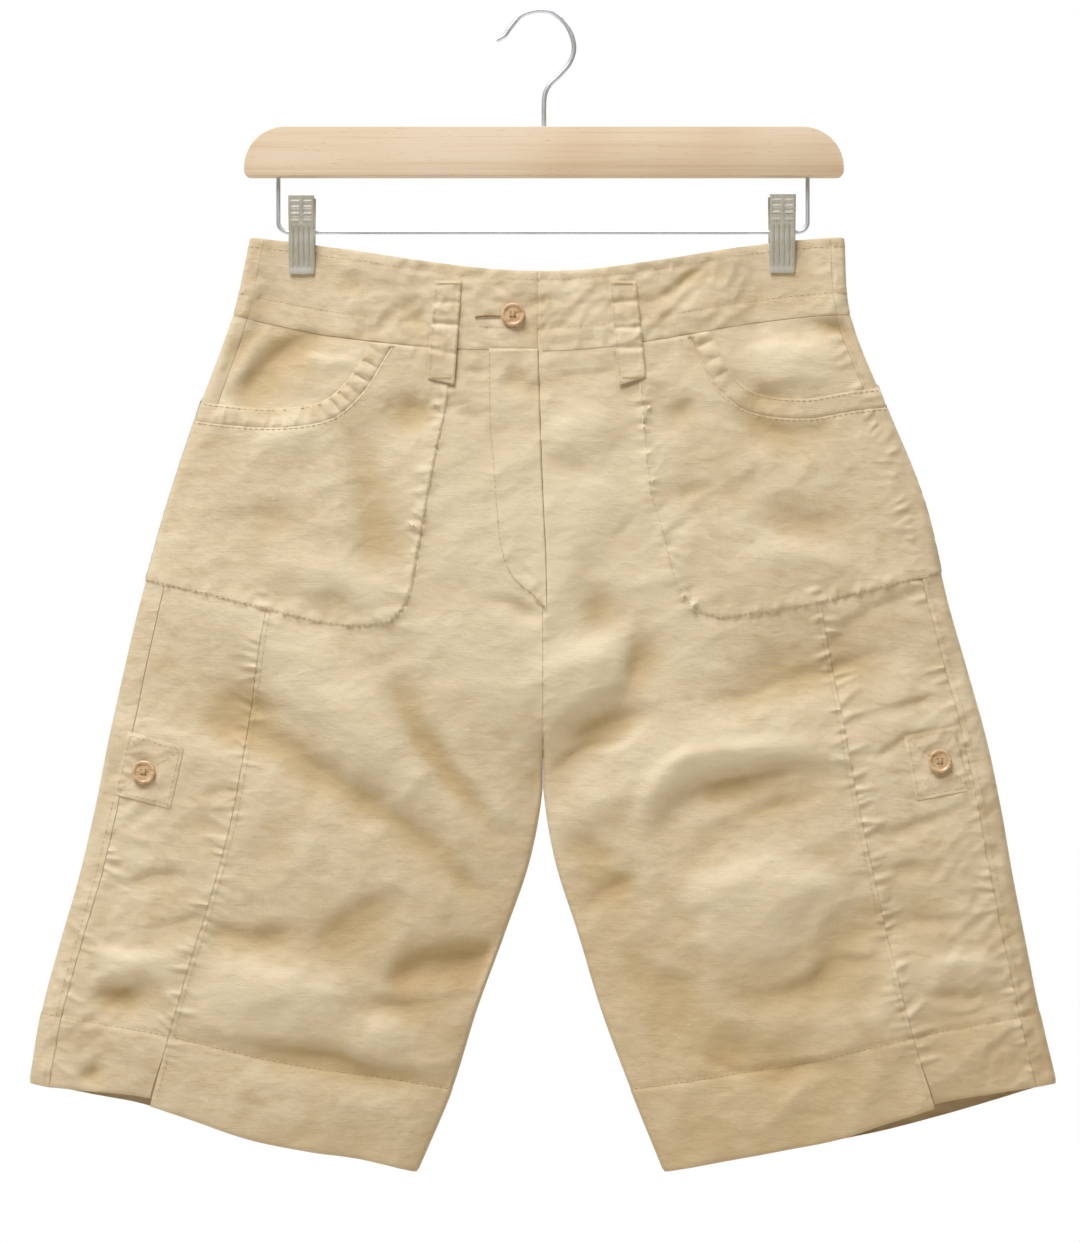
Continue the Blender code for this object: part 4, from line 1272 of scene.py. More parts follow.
@dataclass(frozen=True)
class Linen:
    """Washed plain-weave linen with slubs and soft crumples, with painted highlight on its ridges and painted
    shade in its troughs, low on the leg and along the hem.
    """

    name: str = "linen"
    base: tuple = linear(211, 192, 159)
    # pale is a random paler tone, the paler centre and the painted highlight on ridges; deep is a random
    # deeper tone and the painted shade in troughs, low on the leg and along the hem
    pale: tuple = linear(223, 208, 179)
    deep: tuple = linear(186, 156, 107)
    thread_pitch: float = 0.7
    thread_depth: float = 0.00012
    crumple_depth: float = 0.0014
    turn: float = 0.0

    def build(self) -> bpy.types.Material:
        """Makes the material; it reads the piece's cloth UV in metres and its rise attribute, from which it
        paints highlight onto ridges and shade into troughs.

        Returns:
            The material.
        """
        shader = Shader(self.name)
        cloth = shader.node("ShaderNodeUVMap", {"uv_map": "cloth"})
        place = shader.mapped(cloth, (1 / MM, 1 / MM, 1), self.turn)
        across, down, _ = shader.split(place)
        wander = shader.noise(place, 0.045, 2.0) * 5.0
        rate = math.pi / self.thread_pitch
        weave = ((across + wander) * rate).sine() * ((down + wander) * rate).sine()
        weft_slub = shader.noise(shader.mapped(place, (0.05, 1.3, 1)), 1.0, 3.0, 0.6).ramp(0.5, 0.72)
        warp_slub = shader.noise(shader.mapped(place, (1.2, 0.04, 1)), 1.0, 3.0, 0.6).ramp(0.52, 0.75)
        blotch = shader.noise(place, 0.026, 4.0, 0.6).ramp(0.32, 0.68)
        crumple = shader.noise(shader.mapped(place, (0.7, 1.0, 1), 0.35), 0.11, 4.0, 0.55)
        rise = shader.node("ShaderNodeAttribute", {"attribute_name": "rise"}, None, "Fac")
        colour = shader.mix(blotch * 0.75, self.base, self.pale)
        wash = shader.noise(shader.mapped(place, (1.0, 1.6, 1), 0.4), 0.055, 4.0, 0.62).ramp(0.46, 0.72)
        colour = shader.mix(weft_slub * 0.2 + warp_slub * 0.14 + wash * 0.3, colour, self.deep)
        # Painted shade low on the leg, stronger on the wearer's left, and painted shade along the hem; paler
        # down the centre; then the creases by their height
        low = down.ramp(-690, -430, 0.4, 0.0) * across.ramp(-240, 160, 0.2, 1.0)
        colour = shader.mix(low + down.ramp(-712, -692, 0.14, 0.0), colour, self.deep)
        middle = (across * across).ramp(2500, 16000, 1.0, 0.0) * down.ramp(-500, -400, 0.0, 0.6)
        colour = shader.mix(middle * down.ramp(-290, -230, 1.0, 0.0), colour, self.pale)
        # Painted highlight on ridges and painted shade in troughs, by the creases' height
        colour = shader.mix(rise.ramp(0.2, 3.0, 0.0, 0.6), colour, self.pale)
        colour = shader.mix(rise.ramp(-4.2, 0.4, 0.64, 0.0), colour, self.deep)
        threads = weave * 0.5 + weft_slub * 0.7 + warp_slub * 0.5
        normal = shader.bump(crumple, self.crumple_depth)
        normal = shader.bump(threads, self.thread_depth, normal)
        shader.set(Base_Color=colour, Roughness=weft_slub.ramp(0, 1, 0.95, 0.85), Normal=normal,
                   Specular_IOR_Level=0.2, Sheen_Weight=0.15, Sheen_Roughness=0.5)
        return shader.material


@dataclass(frozen=True)
class Thread:
    """Sewing thread, a little deeper than the cloth."""

    name: str = "sewing_thread"
    base: tuple = linear(186, 162, 123)
    pale: tuple = linear(202, 180, 143)

    def build(self) -> bpy.types.Material:
        """Makes the material.

        Returns:
            The material.
        """
        shader = Shader(self.name)
        place = shader.object_place()
        twist = shader.noise(place, 900.0, 2.0)
        colour = shader.mix(twist.ramp(0.35, 0.65), self.base, self.pale)
        shader.set(Base_Color=colour, Roughness=twist.ramp(0.3, 0.7, 0.6, 0.8),
                   Normal=shader.bump(twist, 0.00008))
        return shader.material


@dataclass(frozen=True)
class Horn:
    """Tan horn-look buttons with mottling and a low gloss."""

    base: tuple = linear(200, 164, 122)
    dark: tuple = linear(160, 120, 80)
    light: tuple = linear(216, 186, 148)

    def build(self) -> bpy.types.Material:
        """Makes the material.

        Returns:
            The material.
        """
        shader = Shader("horn_button")
        place = shader.object_place()
        swirl = shader.noise(shader.mapped(place, (1.0, 1.0, 2.2)), 170.0, 5.0, 0.6)
        fleck = shader.noise(place, 700.0, 3.0)
        colour = shader.mix(swirl.ramp(0.4, 0.66), self.base, self.light)
        colour = shader.mix(swirl.ramp(0.5, 0.32) * 0.7, colour, self.dark)
        shader.set(Base_Color=colour, Roughness=fleck.ramp(0.3, 0.7, 0.34, 0.5),
                   Coat_Weight=fleck.ramp(0, 1, 0.25, 0.15), Normal=shader.bump(fleck, 0.00008))
        return shader.material


@dataclass(frozen=True)
class Beech:
    """Pale lacquered beech with fine lengthwise grain and flecks."""

    base: tuple = linear(216, 188, 155)
    light: tuple = linear(226, 206, 180)
    grain: tuple = linear(194, 160, 120)

    def build(self) -> bpy.types.Material:
        """Makes the material.

        Returns:
            The material.
        """
        shader = Shader("beech")
        place = shader.object_place()
        drift = shader.noise(place, 6.0, 2.0)
        bands = shader.noise(shader.mapped(place, (2.2, 60.0, 130.0)), 1.0, 4.0, 0.6)
        lines = shader.noise(shader.mapped(place, (7.0, 420.0, 700.0)), 1.0, 3.0, 0.7)
        flecks = shader.noise(shader.mapped(place, (160.0, 900.0, 1500.0)), 1.0, 1.0)
        colour = shader.mix(drift.ramp(0.35, 0.65), self.base, self.light)
        colour = shader.mix(bands.ramp(0.42, 0.68) * 0.45, colour, self.grain)
        colour = shader.mix(lines.ramp(0.5, 0.75) * 0.4, colour, self.grain)
        colour = shader.mix(flecks.ramp(0.66, 0.78) * 0.5, colour, self.grain)
        height = lines * 0.7 + bands * 0.3
        shader.set(Base_Color=colour, Roughness=lines.ramp(0.3, 0.8, 0.42, 0.58),
                   Normal=shader.bump(height, 0.00012), Coat_Weight=bands.ramp(0, 1, 0.22, 0.16),
                   Coat_Roughness=0.3)
        return shader.material


@dataclass(frozen=True)
class Nickel:
    """Nickel-plated steel: brushed sheet or drawn wire."""

    name: str
    base: tuple
    streak: tuple
    rough: float
    stretch: tuple = (1.0, 1.0, 0.05)

    def build(self) -> bpy.types.Material:
        """Makes the material.

        Returns:
            The material.
        """
        shader = Shader(self.name)
        place = shader.object_place()
        brush = shader.noise(shader.mapped(place, self.stretch), 900.0, 2.0)
        tarnish = shader.noise(place, 60.0, 3.0)
        share = brush.ramp(0.3, 0.7) * 0.3 + tarnish.ramp(0.4, 0.75) * 0.35
        colour = shader.mix(share, self.base, self.streak)
        rough = tarnish.ramp(0.3, 0.7, self.rough - 0.04, self.rough + 0.08)
        shader.set(Base_Color=colour, Metallic=tarnish.ramp(0.0, 1.0, 0.82, 0.78), Roughness=rough,
                   Normal=shader.bump(brush, 0.000002))
        return shader.material


@dataclass
class Finishes:
    """The materials of the whole object, each made once."""

    linen: bpy.types.Material = field(default_factory=lambda: Linen().build())
    linen_side: bpy.types.Material = field(default_factory=lambda: Linen("linen_side", turn=0.09).build())
    linen_back: bpy.types.Material = field(default_factory=lambda: Linen("linen_back", turn=-0.05).build())
    thread: bpy.types.Material = field(default_factory=lambda: Thread().build())
    # A dark brown that paints the shade inside the buttonhole's slit
    shade: bpy.types.Material = field(default_factory=lambda: Thread(
        name="slit_shade_paint", base=linear(120, 88, 54), pale=linear(146, 112, 72)).build())
    horn: bpy.types.Material = field(default_factory=lambda: Horn().build())
    beech: bpy.types.Material = field(default_factory=lambda: Beech().build())
    wire: bpy.types.Material = field(default_factory=lambda: Nickel(
        "nickel_wire", linear(222, 228, 240), linear(202, 207, 217), 0.42).build())
    sheet_metal: bpy.types.Material = field(default_factory=lambda: Nickel(
        "nickel_sheet", linear(220, 218, 210), linear(186, 183, 172), 0.5).build())


# Making and entering pieces


def new_object(name: str, bm: bmesh.types.BMesh, material: bpy.types.Material,
               smooth_angle: float = 40) -> bpy.types.Object:
    """An object in metres from a bmesh in millimetres.

    Args:
        name: The piece's name.
        bm: Its shape, freed here.
        material: Its finish.
        smooth_angle: Edges sharper than this stay sharp, in degrees.

    Returns:
        The object, at the origin.
    """
    bmesh.ops.scale(bm, vec=(MM, MM, MM), verts=bm.verts)
    mesh = bpy.data.meshes.new(name)
    bm.to_mesh(mesh)
    bm.free()
    mesh.shade_smooth()
    mesh.set_sharp_from_angle(angle=math.radians(smooth_angle))
    mesh.materials.append(material)
    made = bpy.data.objects.new(name, mesh)
    bpy.context.scene.collection.objects.link(made)
    return made


def enter(piece: bpy.types.Object, nodes: Sequence[str] = ()) -> bpy.types.Object:
    """Attaches a piece to the body it rides on, and hides the nodes that it stands for.

    Args:
        piece: The object.
        nodes: The solids that it replaces.

    Returns:
        The object.
    """
    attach(piece, "root")
    if nodes:
        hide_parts(*nodes)
    LOG.info("%s: %d faces", piece.name, len(piece.data.polygons))
    return piece


def grid_bmesh(rows: int, columns: int) -> tuple[bmesh.types.BMesh, Array, Array]:
    """A grid, and the row and column of each of its vertices.

    Args:
        rows: Crossings down.
        columns: Crossings across.

    Returns:
        The bmesh, and two arrays of whole numbers.
    """
    bm = bmesh.new()
    bmesh.ops.create_grid(bm, x_segments=columns - 1, y_segments=rows - 1, size=0.5)
    spots = np.array([vert.co[:2] for vert in bm.verts]) + 0.5
    column = np.rint(spots[:, 0] * (columns - 1)).astype(int)
    row = np.rint((1 - spots[:, 1]) * (rows - 1)).astype(int)
    return bm, row, column


@dataclass
class Cloth:
    """Makes thin shells of cloth from cut grids."""

    drape: Drape
    finishes: Finishes
    clip_nodes: tuple[str, ...] = ("clip_right_front", "clip_left_front", "clip_right_back", "clip_left_back")
    sharp_above: float = 55.0
    edge_round: float = 0.2
    roll: tuple = (1.0, 0.22)
    band_sink: float = 1.2
    least_cut: float = 0.0105
    full_share: float = 0.97
    back_pattern: float = 660.0

    @property
    def form(self) -> Form:
        """The form that the cloth follows."""
        return self.drape.form

    def tucked(self, cut: Cut) -> Cut:
        """A left half's grid, run on at the centre beneath the right half.

        Args:
            cut: The grid.

        Returns:
            The wider grid.
        """
        form = self.form
        back = cut.girth[0, 0] > 1 or cut.girth[0, -1] > 1.5
        side = np.s_[:, -1:] if back else np.s_[:, :1]
        _, outer, inner, _ = form.sides(-1.0, cut.row[side])
        girth = np.arccos(1 - 2 * np.array(CENTRE_TUCK)[None] / (outer - inner)) / np.pi
        row = np.broadcast_to(cut.row[side], girth.shape)
        zero = np.zeros(girth.shape)
        extra = Cut(zero - 1.0, 2 - girth[:, ::-1] if back else girth, row, zero)
        parts = (cut, extra) if back else (extra, cut)
        wide = Cut(*(np.concatenate(pair, axis=1) for pair in zip(*parts)))
        x, z, _ = form.plane(wide.half, wide.girth, wide.row)
        edge = np.zeros(x.shape) - SEAM_GAP / 2 if back else self.fly_x(z)
        sink = TUCK_DEPTH * (1 - smooth_step(0.0, 0.35, x - edge))
        sink = sink + 0.08 * (1 - smooth_step(0.35, 3.0, x - edge))
        return wide._replace(lift=wide.lift - sink * (1 - form.leg(wide.row)))

    @staticmethod
    def fly_x(z: Array) -> Array:
        """Where the opening's edge is across, by height, and the centre seam's below it."""
        edge = np.asarray(FLY_EDGE)[::-1]
        return np.where(z < edge[0, 1], -SEAM_GAP / 2, np.interp(z, edge[:, 1], edge[:, 0]))

    def under_band(self, lift: Array, rows: Array) -> Array:
        """A panel's lift with its top sunk beneath the waistband.

        Args:
            lift: The grid's lift.
            rows: Its rows.

        Returns:
            The new lift.
        """
        sink = self.band_sink * (1 - smooth_step(0.998, UNDER_BAND_ROWS[-1], rows))
        sink = sink + 0.15 * (1 - smooth_step(1.0, 1.12, rows))
        return lift - sink[:, None]

    def rolled(self, lift: Array, edges: str, depth: float = 0.35) -> Array:
        """A grid's lift with named edges rolled under: t, b, l and r.

        Args:
            lift: The grid's lift.
            edges: Their letters.
            depth: How far the edge sinks.

        Returns:
            The new lift.
        """
        lift = lift.copy()
        for ring, share in enumerate(self.roll):
            rings = {"t": np.s_[ring], "b": np.s_[-1 - ring], "l": np.s_[:, ring], "r": np.s_[:, -1 - ring]}
            for edge in edges:
                lift[rings[edge]] -= depth * share
        return lift

    def shell(self, node: str, cut: Cut, thickness: float, material: bpy.types.Material,
              keep: Callable | None = None, shift: Array | float = 0.0,
              rounded: bool = True) -> bpy.types.Object:
        """A closed thin shell in place of one solid, entered.

        Args:
            node: The solid it stands for.
            cut: Its grid.
            thickness: How thick the cloth is.
            material: Its finish.
            keep: Tells from row and column crossings which cells stay, all where it is None.
            shift: Moves of the points, added last.
            rounded: Whether its edges are rounded off, which a piece that narrows to a point can't be.

        Returns:
            The object.
        """
        points, rise = self.drape.points(cut)
        points = points + shift
        bm, row, column = grid_bmesh(*cut.girth.shape)
        self.lay(bm, points[row, column], self.pattern(cut, points)[row, column], rise[row, column])
        cells = np.ones(np.subtract(cut.girth.shape, 1), bool)
        if keep is not None:
            cells = np.array([[keep(i, j) for j in range(cells.shape[1])] for i in range(cells.shape[0])])
            corners = [[vert.index for vert in face.verts] for face in bm.faces]
            doomed = [face for face, spots in zip(bm.faces, corners)
                      if not cells[row[spots].min(), column[spots].min()]]
            bmesh.ops.delete(bm, geom=doomed, context="FACES")
        self.turn_outwards(bm, cut)
        area = sum(face.calc_area() for face in bm.faces) * MM * MM
        piece = new_object("cloth_" + node, bm, material, self.sharp_above)
        self.thicken(piece, thickness, rounded)
        enter(piece, [node])
        width, length = self.flat_size(points, cells, area)
        area if area / (width * length) < self.full_share else None
        LOG.info("%s: cut %.0f x %.0f mm, %.0f square cm", node, width / MM, length / MM, area * 10000)
        return piece

    def pattern(self, cut: Cut, points: Array) -> Array:
        """Where a piece's points lie on the flat pattern in metres, the back beside the front."""
        back = self.back_pattern * cut.half - points[..., 0]
        return np.stack([np.where(cut.girth <= 1, points[..., 0], back), points[..., 2]], axis=-1) * MM

    @staticmethod
    def lay(bm: bmesh.types.BMesh, places: Array, pattern: Array, rise: Array) -> None:
        """Puts each vertex in its place, with its spot on the weave and its creases' height.

        Args:
            bm: The grid.
            places: A place for each vertex.
            pattern: Its spot on the weave.
            rise: The height of the creases there, which the cloth's colour turns into painted shade and
                highlight.
        """
        uv_layer = bm.loops.layers.uv.new("cloth")
        layer = bm.verts.layers.float.new("rise")
        for vert, place, height in zip(bm.verts, places, rise):
            vert.co = place
            vert[layer] = height
        for face in bm.faces:
            for loop in face.loops:
                loop[uv_layer].uv = pattern[loop.vert.index]

    def turn_outwards(self, bm: bmesh.types.BMesh, cut: Cut) -> None:
        """Turns the faces round where most of them point inwards.

        Args:
            bm: The piece.
            cut: Its grid.
        """
        bm.normal_update()
        bm.verts.index_update()
        rows, columns = cut.girth.shape
        middle = Vector(self.form.facing(cut.half, cut.girth, cut.row)[rows // 2, columns // 2])
        outward = sum(face.normal.dot(middle) > 0 for face in bm.faces)
        if cut.girth.min() < 1 < cut.girth.max():
            outward = sum((face.normal.y < 0) == (face.calc_center_median().y < 0) for face in bm.faces)
        if outward < len(bm.faces) / 2:
            bmesh.ops.reverse_faces(bm, faces=bm.faces)

    def thicken(self, piece: bpy.types.Object, thickness: float, rounded: bool) -> None:
        """Gives a sheet its thickness, and its edges their rounding.

        Args:
            piece: The sheet.
            thickness: Its thickness in millimetres.
            rounded: Whether its edges are rounded off.
        """
        solidify = piece.modifiers.new("thickness", "SOLIDIFY")
        solidify.thickness = thickness * MM
        solidify.offset = -1.0
        if rounded:
            edge = piece.modifiers.new("edge", "BEVEL")
            edge.width = self.edge_round * MM
            edge.segments = 2
            edge.limit_method = "ANGLE"
            edge.angle_limit = math.radians(self.sharp_above)
            edge.harden_normals = True

    def flat_size(self, points: Array, cells: Array, area: float) -> tuple[float, float]:
        """The width and length that a piece is cut to, in metres.

        Args:
            points: Its grid's points.
            cells: Which cells of the grid it keeps.
            area: Its area, in square metres.

        Returns:
            Both sizes.
        """
        across = (np.linalg.norm(np.diff(points, axis=1), axis=-1)[:-1] * cells).sum(axis=1).max() * MM
        down = (np.linalg.norm(np.diff(points, axis=0), axis=-1)[:, :-1] * cells).sum(axis=0).max() * MM
        across, down = max(across, self.least_cut), max(down, self.least_cut)
        if across * down < area:
            down = area / across
        return float(across), float(down)

    def ruled(self, first: Array, second: Array, steps: int, lift: float | Array, edges: str,
              depth: float = 0.55) -> Cut:
        """A patch between two lines of as many points in the (x, z) plane.

        Args:
            first: One line's points.
            second: The other's.
            steps: Cells between them.
            lift: How far it lies off the panel.
            edges: Which of its edges roll under, t being the first line.
            depth: How far they do.

        Returns:
            The cut.
        """
        share = np.linspace(0, 1, steps + 1)[:, None, None]
        spots = first[None] * (1 - share) + second[None] * share
        half, girth, row = self.form.locate(spots[..., 0], spots[..., 1])
        lifts = np.broadcast_to(np.asarray(lift, float), girth.shape)
        return Cut(half, girth, row, self.rolled(lifts, edges, depth))


def fine_columns(first: float, last: float, pitch: float) -> Array:
    """Columns between two of the wall's, at a pitch in millimetres.

    Args:
        first: Where they start.
        last: Where they end.
        pitch: The step between them.

    Returns:
        The columns, with every whole one between.
    """
    near, nearer = 0.013, 0.003
    shares = [0, nearer, near, *(c.leg for c in FRONT_COLUMNS), 1 - near, 1 - nearer, 1]
    shares += [2 - s for s in (1 - nearer, 1 - near, *(c.leg for c in BACK_COLUMNS), near, nearer, 0)]
    stops = [first, *range(math.floor(first) + 1, math.ceil(last)), last]
    columns: list[float] = [first]
    for here, there in zip(stops, stops[1:]):
        span = np.interp([here, there], range(LAST_COLUMN + 1), shares)
        count = max(int(round(abs(span[1] - span[0]) * HALF_WIDTH / pitch)), 2)
        columns += list(np.linspace(here, there, count + 1)[1:])
    return np.array(columns)


@dataclass
class Panels:
    """The front, side and back panels of both legs; each tucks under the next at its seam."""

    cloth: Cloth
    thickness: float = 0.85
    row_pitch: float = 1.55
    pitch: float = 2.5
    back_row_pitch: float = 2.6
    back_pitch: float = 3.1
    vent_rise: dict = field(default_factory=lambda: {Half.RIGHT: 4.8, Half.LEFT: 2.4})
    vent_curl: dict = field(default_factory=lambda: {Half.RIGHT: 0.5, Half.LEFT: 1.6})
    vent_row: float = 10.35
    hem_lean: float = 3.0
    hem_swell: float = 0.45
    hem_roll: tuple = (0.75, 0.2)

    def build(self) -> None:
        """Makes all six panels."""
        for half in Half:
            self.front(half)
            self.side(half)
            self.back(half)

    def cut(self, half: Half, columns: Array, rows: Array) -> Cut:
        """A grid of columns and rows of the wall.

        Args:
            half: Which half it is.
            columns: Its columns.
            rows: Its rows.

        Returns:
            The grid, with no lift.
        """
        column, row = np.meshgrid(columns, rows)
        girth = self.cloth.form.columns(half.value, row, column)
        return Cut(np.full(row.shape, float(half.value)), girth, row, np.zeros(row.shape))

    @staticmethod
    def rows(first: float, last: float, pitch: float) -> Array:
        """Rows between two of the wall's, at a pitch in millimetres."""
        return np.linspace(first, last, int(round((last - first) * ROW_HEIGHT / pitch)) + 1)

    @staticmethod
    def tuck(columns: Array, start: float) -> Array:
        """The sink of columns that run beneath the neighbour that ends at start."""
        return TUCK_DEPTH * (1 - smooth_step(start - 0.002, start + 0.012, columns)) + 0.1 * (
            1 - smooth_step(start + 0.012, start + 0.1, columns))

    def front(self, half: Half) -> None:
        """Makes one front panel, full width above the pocket's foot and up to the panel seam below it.

        Args:
            half: Which half it is.
        """
        above = np.concatenate([UNDER_BAND_ROWS, self.rows(1.025, POCKET_HEM_ROW, self.row_pitch)])
        rows = np.concatenate([above, self.rows(POCKET_HEM_ROW, LAST_ROW, self.row_pitch)[1:]])
        inner = np.concatenate([fine_columns(0, 1, 0.35), np.linspace(1, 2, 8)[1:],
                                fine_columns(2, PANEL_COLUMN, self.pitch)[1:]])
        columns = np.concatenate([inner, fine_columns(PANEL_COLUMN, SIDE_COLUMN, self.pitch)[1:]])
        corner_row, corner_column = len(above) - 1, len(inner) - 1
        cut = self.cut(half, columns, rows)
        lift = self.cloth.rolled(cut.lift, "r", 0.15)
        lift[corner_row:, corner_column] -= 0.15
        near = np.broadcast_to(columns, cut.row.shape)
        curl = smooth_step(self.vent_row, LAST_ROW, cut.row)
        curl = curl * smooth_step(PANEL_COLUMN - 1.2, PANEL_COLUMN, near)
        lift = self.hem(cut, lift + self.vent_curl[half] * curl, rows)
        cut = cut._replace(lift=self.cloth.under_band(lift, rows))
        cut, added = self.at_centre(half, cut)
        self.cloth.shell(
            "front" + half.suffix, cut, self.thickness, self.cloth.finishes.linen,
            lambda row, column: (row < corner_row or column < corner_column + added)
            and (column >= added or rows[row] < TUCK_ROW))

    def at_centre(self, half: Half, cut: Cut) -> tuple[Cut, int]:
        """A front panel's grid fitted to the centre: tucked on the left, cut to the opening on the right.

        Args:
            half: Which half it is.
            cut: Its grid.

        Returns:
            The new grid and how many columns were added before the first.
        """
        if half is Half.LEFT:
            return self.cloth.tucked(cut), len(CENTRE_TUCK)
        form = self.cloth.form
        _, z, _ = form.plane(cut.half[:, :1], cut.girth[:, :1], cut.row[:, :1])
        _, outer, inner, _ = form.sides(cut.half[:, :1], cut.row[:, :1])
        short = np.maximum(-self.cloth.fly_x(z) - SEAM_GAP / 2, 0) / (outer - inner)
        start = np.arccos(1 - 2 * short) / np.pi
        lift = cut.lift.copy()
        lift[:, 0] -= 0.3 * (1 - form.leg(cut.row[:, 0]))
        return cut._replace(girth=start + cut.girth * (1 - start / cut.girth[:, -1:]), lift=lift), 0

    def hem(self, cut: Cut, lift: Array, rows: Array) -> Array:
        """Thickens the turned-up hem, lets it lean in and rounds its lower edge.

        Args:
            cut: The panel's grid.
            lift: Its lift so far.
            rows: Its rows.

        Returns:
            The new lift.
        """
        share = self.cloth.form.plane(cut.half, cut.girth, cut.row)[2]
        up = self.hem_swell * smooth_step(HEM_STITCH_ROW - 0.01, HEM_STITCH_ROW + 0.06, rows)
        lean = self.hem_lean * smooth_step(HEM_STITCH_ROW - 0.1, LAST_ROW + 0.6, rows)
        lift = lift + up[:, None] - lean[:, None] * np.minimum(1, 6 * share * (1 - share))
        lift[-1] -= self.hem_roll[0]
        lift[-2] -= self.hem_roll[1]
        return lift

    def side(self, half: Half) -> None:
        """Makes one side panel, with its vent.

        Args:
            half: Which half it is.
        """
        rows = self.rows(POCKET_HEM_ROW - 0.05, LAST_ROW, self.row_pitch)
        start = fine_columns(PANEL_COLUMN - TUCK_COLUMNS, PANEL_COLUMN, 0.9)
        columns = np.concatenate([start, [PANEL_COLUMN + 0.012, PANEL_COLUMN + 0.05],
                                  fine_columns(PANEL_COLUMN + 0.1, SIDE_COLUMN, 1.9)])
        cut = self.cut(half, columns, rows)
        lift = self.hem(cut, self.cloth.rolled(cut.lift, "r", 0.15), rows)
        lift = lift - self.tuck(columns, PANEL_COLUMN)[None]
        lift -= 1.3 * (1 - smooth_step(POCKET_HEM_ROW, POCKET_HEM_ROW + 0.03, rows))[:, None]
        near = np.broadcast_to(columns, cut.row.shape)
        near = np.clip((SIDE_COLUMN - near) / (SIDE_COLUMN - PANEL_COLUMN), 0, 1)
        vent = smooth_step(self.vent_row, LAST_ROW, cut.row) * smooth_step(0.55, 1.0, near)
        shift = np.zeros((*cut.row.shape, 3))
        shift[..., 2] = self.vent_rise[half] * near * smooth_step(10.2, LAST_ROW, cut.row)
        self.cloth.shell("side" + half.suffix, cut._replace(lift=lift - 0.9 * vent), self.thickness,
                         self.cloth.finishes.linen_side, shift=shift)

    def back(self, half: Half) -> None:
        """Makes one back panel, round the side fold to the side seam on the front.

        Args:
            half: Which half it is.
        """
        rows = np.concatenate([UNDER_BAND_ROWS, self.rows(1.025, LAST_ROW, self.back_row_pitch)])
        start = fine_columns(SIDE_COLUMN - TUCK_COLUMNS, SIDE_COLUMN, 0.9)
        wrap = np.concatenate([[SIDE_COLUMN + 0.03], fine_columns(SIDE_COLUMN + 0.08, FOLD_COLUMN, 1.5)])
        flat = fine_columns(FOLD_COLUMN, LAST_COLUMN, self.back_pitch)
        columns = np.concatenate([start, wrap, flat[1:]])
        cut = self.cut(half, columns, rows)
        lift = self.hem(cut, cut.lift, rows) - self.tuck(columns, SIDE_COLUMN)[None]
        cut = cut._replace(lift=self.cloth.under_band(lift, rows))
        if half is Half.LEFT:
            cut = self.cloth.tucked(cut)
        count = len(columns) - 1
        self.cloth.shell("back" + half.suffix, cut, self.thickness, self.cloth.finishes.linen_back,
                         lambda row, column: column < count or rows[row] < TUCK_ROW)


@dataclass
class Waistband:
    """The waistband's four lengths; the right front one laps over the left."""

    cloth: Cloth
    thickness: float = 1.0
    pitch: float = 1.7
    lap: float = 3.2
    under: float = 12.0

    def build(self) -> None:
        """Makes the four lengths."""
        for half in Half:
            self.front(half)
            self.back(half)

    def rows(self) -> Array:
        """Rows of the band, closer at its edges."""
        return np.concatenate([[0, 0.02], np.linspace(0.06, 0.94, int(46 / self.pitch)), [0.975, 1.0]])

    def front(self, half: Half) -> None:
        """Makes one front length to the side seam, lapped at the centre.

        Args:
            half: Which half it is.
        """
        form = self.cloth.form
        columns = fine_columns(0, SIDE_COLUMN, self.pitch)
        column, row = np.meshgrid(columns, self.rows())
        halves = np.full(row.shape, float(half.value))
        girth = form.columns(halves, row, column)
        lift = np.zeros(row.shape)
        _, outer, inner, _ = form.sides(halves, row)
        if half is Half.RIGHT:
            start = np.arccos(1 - 2 * self.lap / (outer - inner)) / np.pi
            girth = start + girth * (1 - start / girth[:, -1:])
            lift = lift + 0.25 * smooth_step(0.12, 0, girth)
        else:
            extra = np.linspace(self.under, 1.2, 8)
            width = (outer - inner)[:, :1]
            before = np.arccos(1 - 2 * extra[None, :] / width) / np.pi
            girth = np.concatenate([before, girth], axis=1)
            halves = np.concatenate([np.full(before.shape, -1.0), halves], axis=1)
            row = np.concatenate([np.broadcast_to(row[:, :1], before.shape), row], axis=1)
            x = form.plane(halves, girth, row)[0]
            lift = -1.7 * smooth_step(-self.lap + 0.6, -self.lap - 0.5, x)
        lift = self.cloth.rolled(lift, "tb" if half is Half.LEFT else "tbl", 0.45)
        self.cloth.shell("waistband_front" + half.suffix, Cut(halves, girth, row, lift), self.thickness,
                         self.cloth.finishes.linen_side)

    def back(self, half: Half) -> None:
        """Makes one back length.

        Args:
            half: Which half it is.
        """
        start = fine_columns(SIDE_COLUMN - TUCK_COLUMNS, SIDE_COLUMN, 0.9)
        wrap = fine_columns(SIDE_COLUMN + 0.02, FOLD_COLUMN, 1.4)
        columns = np.concatenate([start, wrap, fine_columns(FOLD_COLUMN, LAST_COLUMN, 2.2)[1:]])
        column, row = np.meshgrid(columns, self.rows())
        girth = self.cloth.form.columns(half.value, row, column)
        sink = 1.2 * (1 - smooth_step(SIDE_COLUMN - 0.002, SIDE_COLUMN + 0.02, columns))
        lift = self.cloth.rolled(np.zeros(row.shape), "tb", 0.45) - sink[None]
        cut = Cut(np.full(row.shape, float(half.value)), girth, row, lift)
        if half is Half.LEFT:
            cut = self.cloth.tucked(cut)
        self.cloth.shell("waistband_back" + half.suffix, cut, self.thickness, self.cloth.finishes.linen_side)


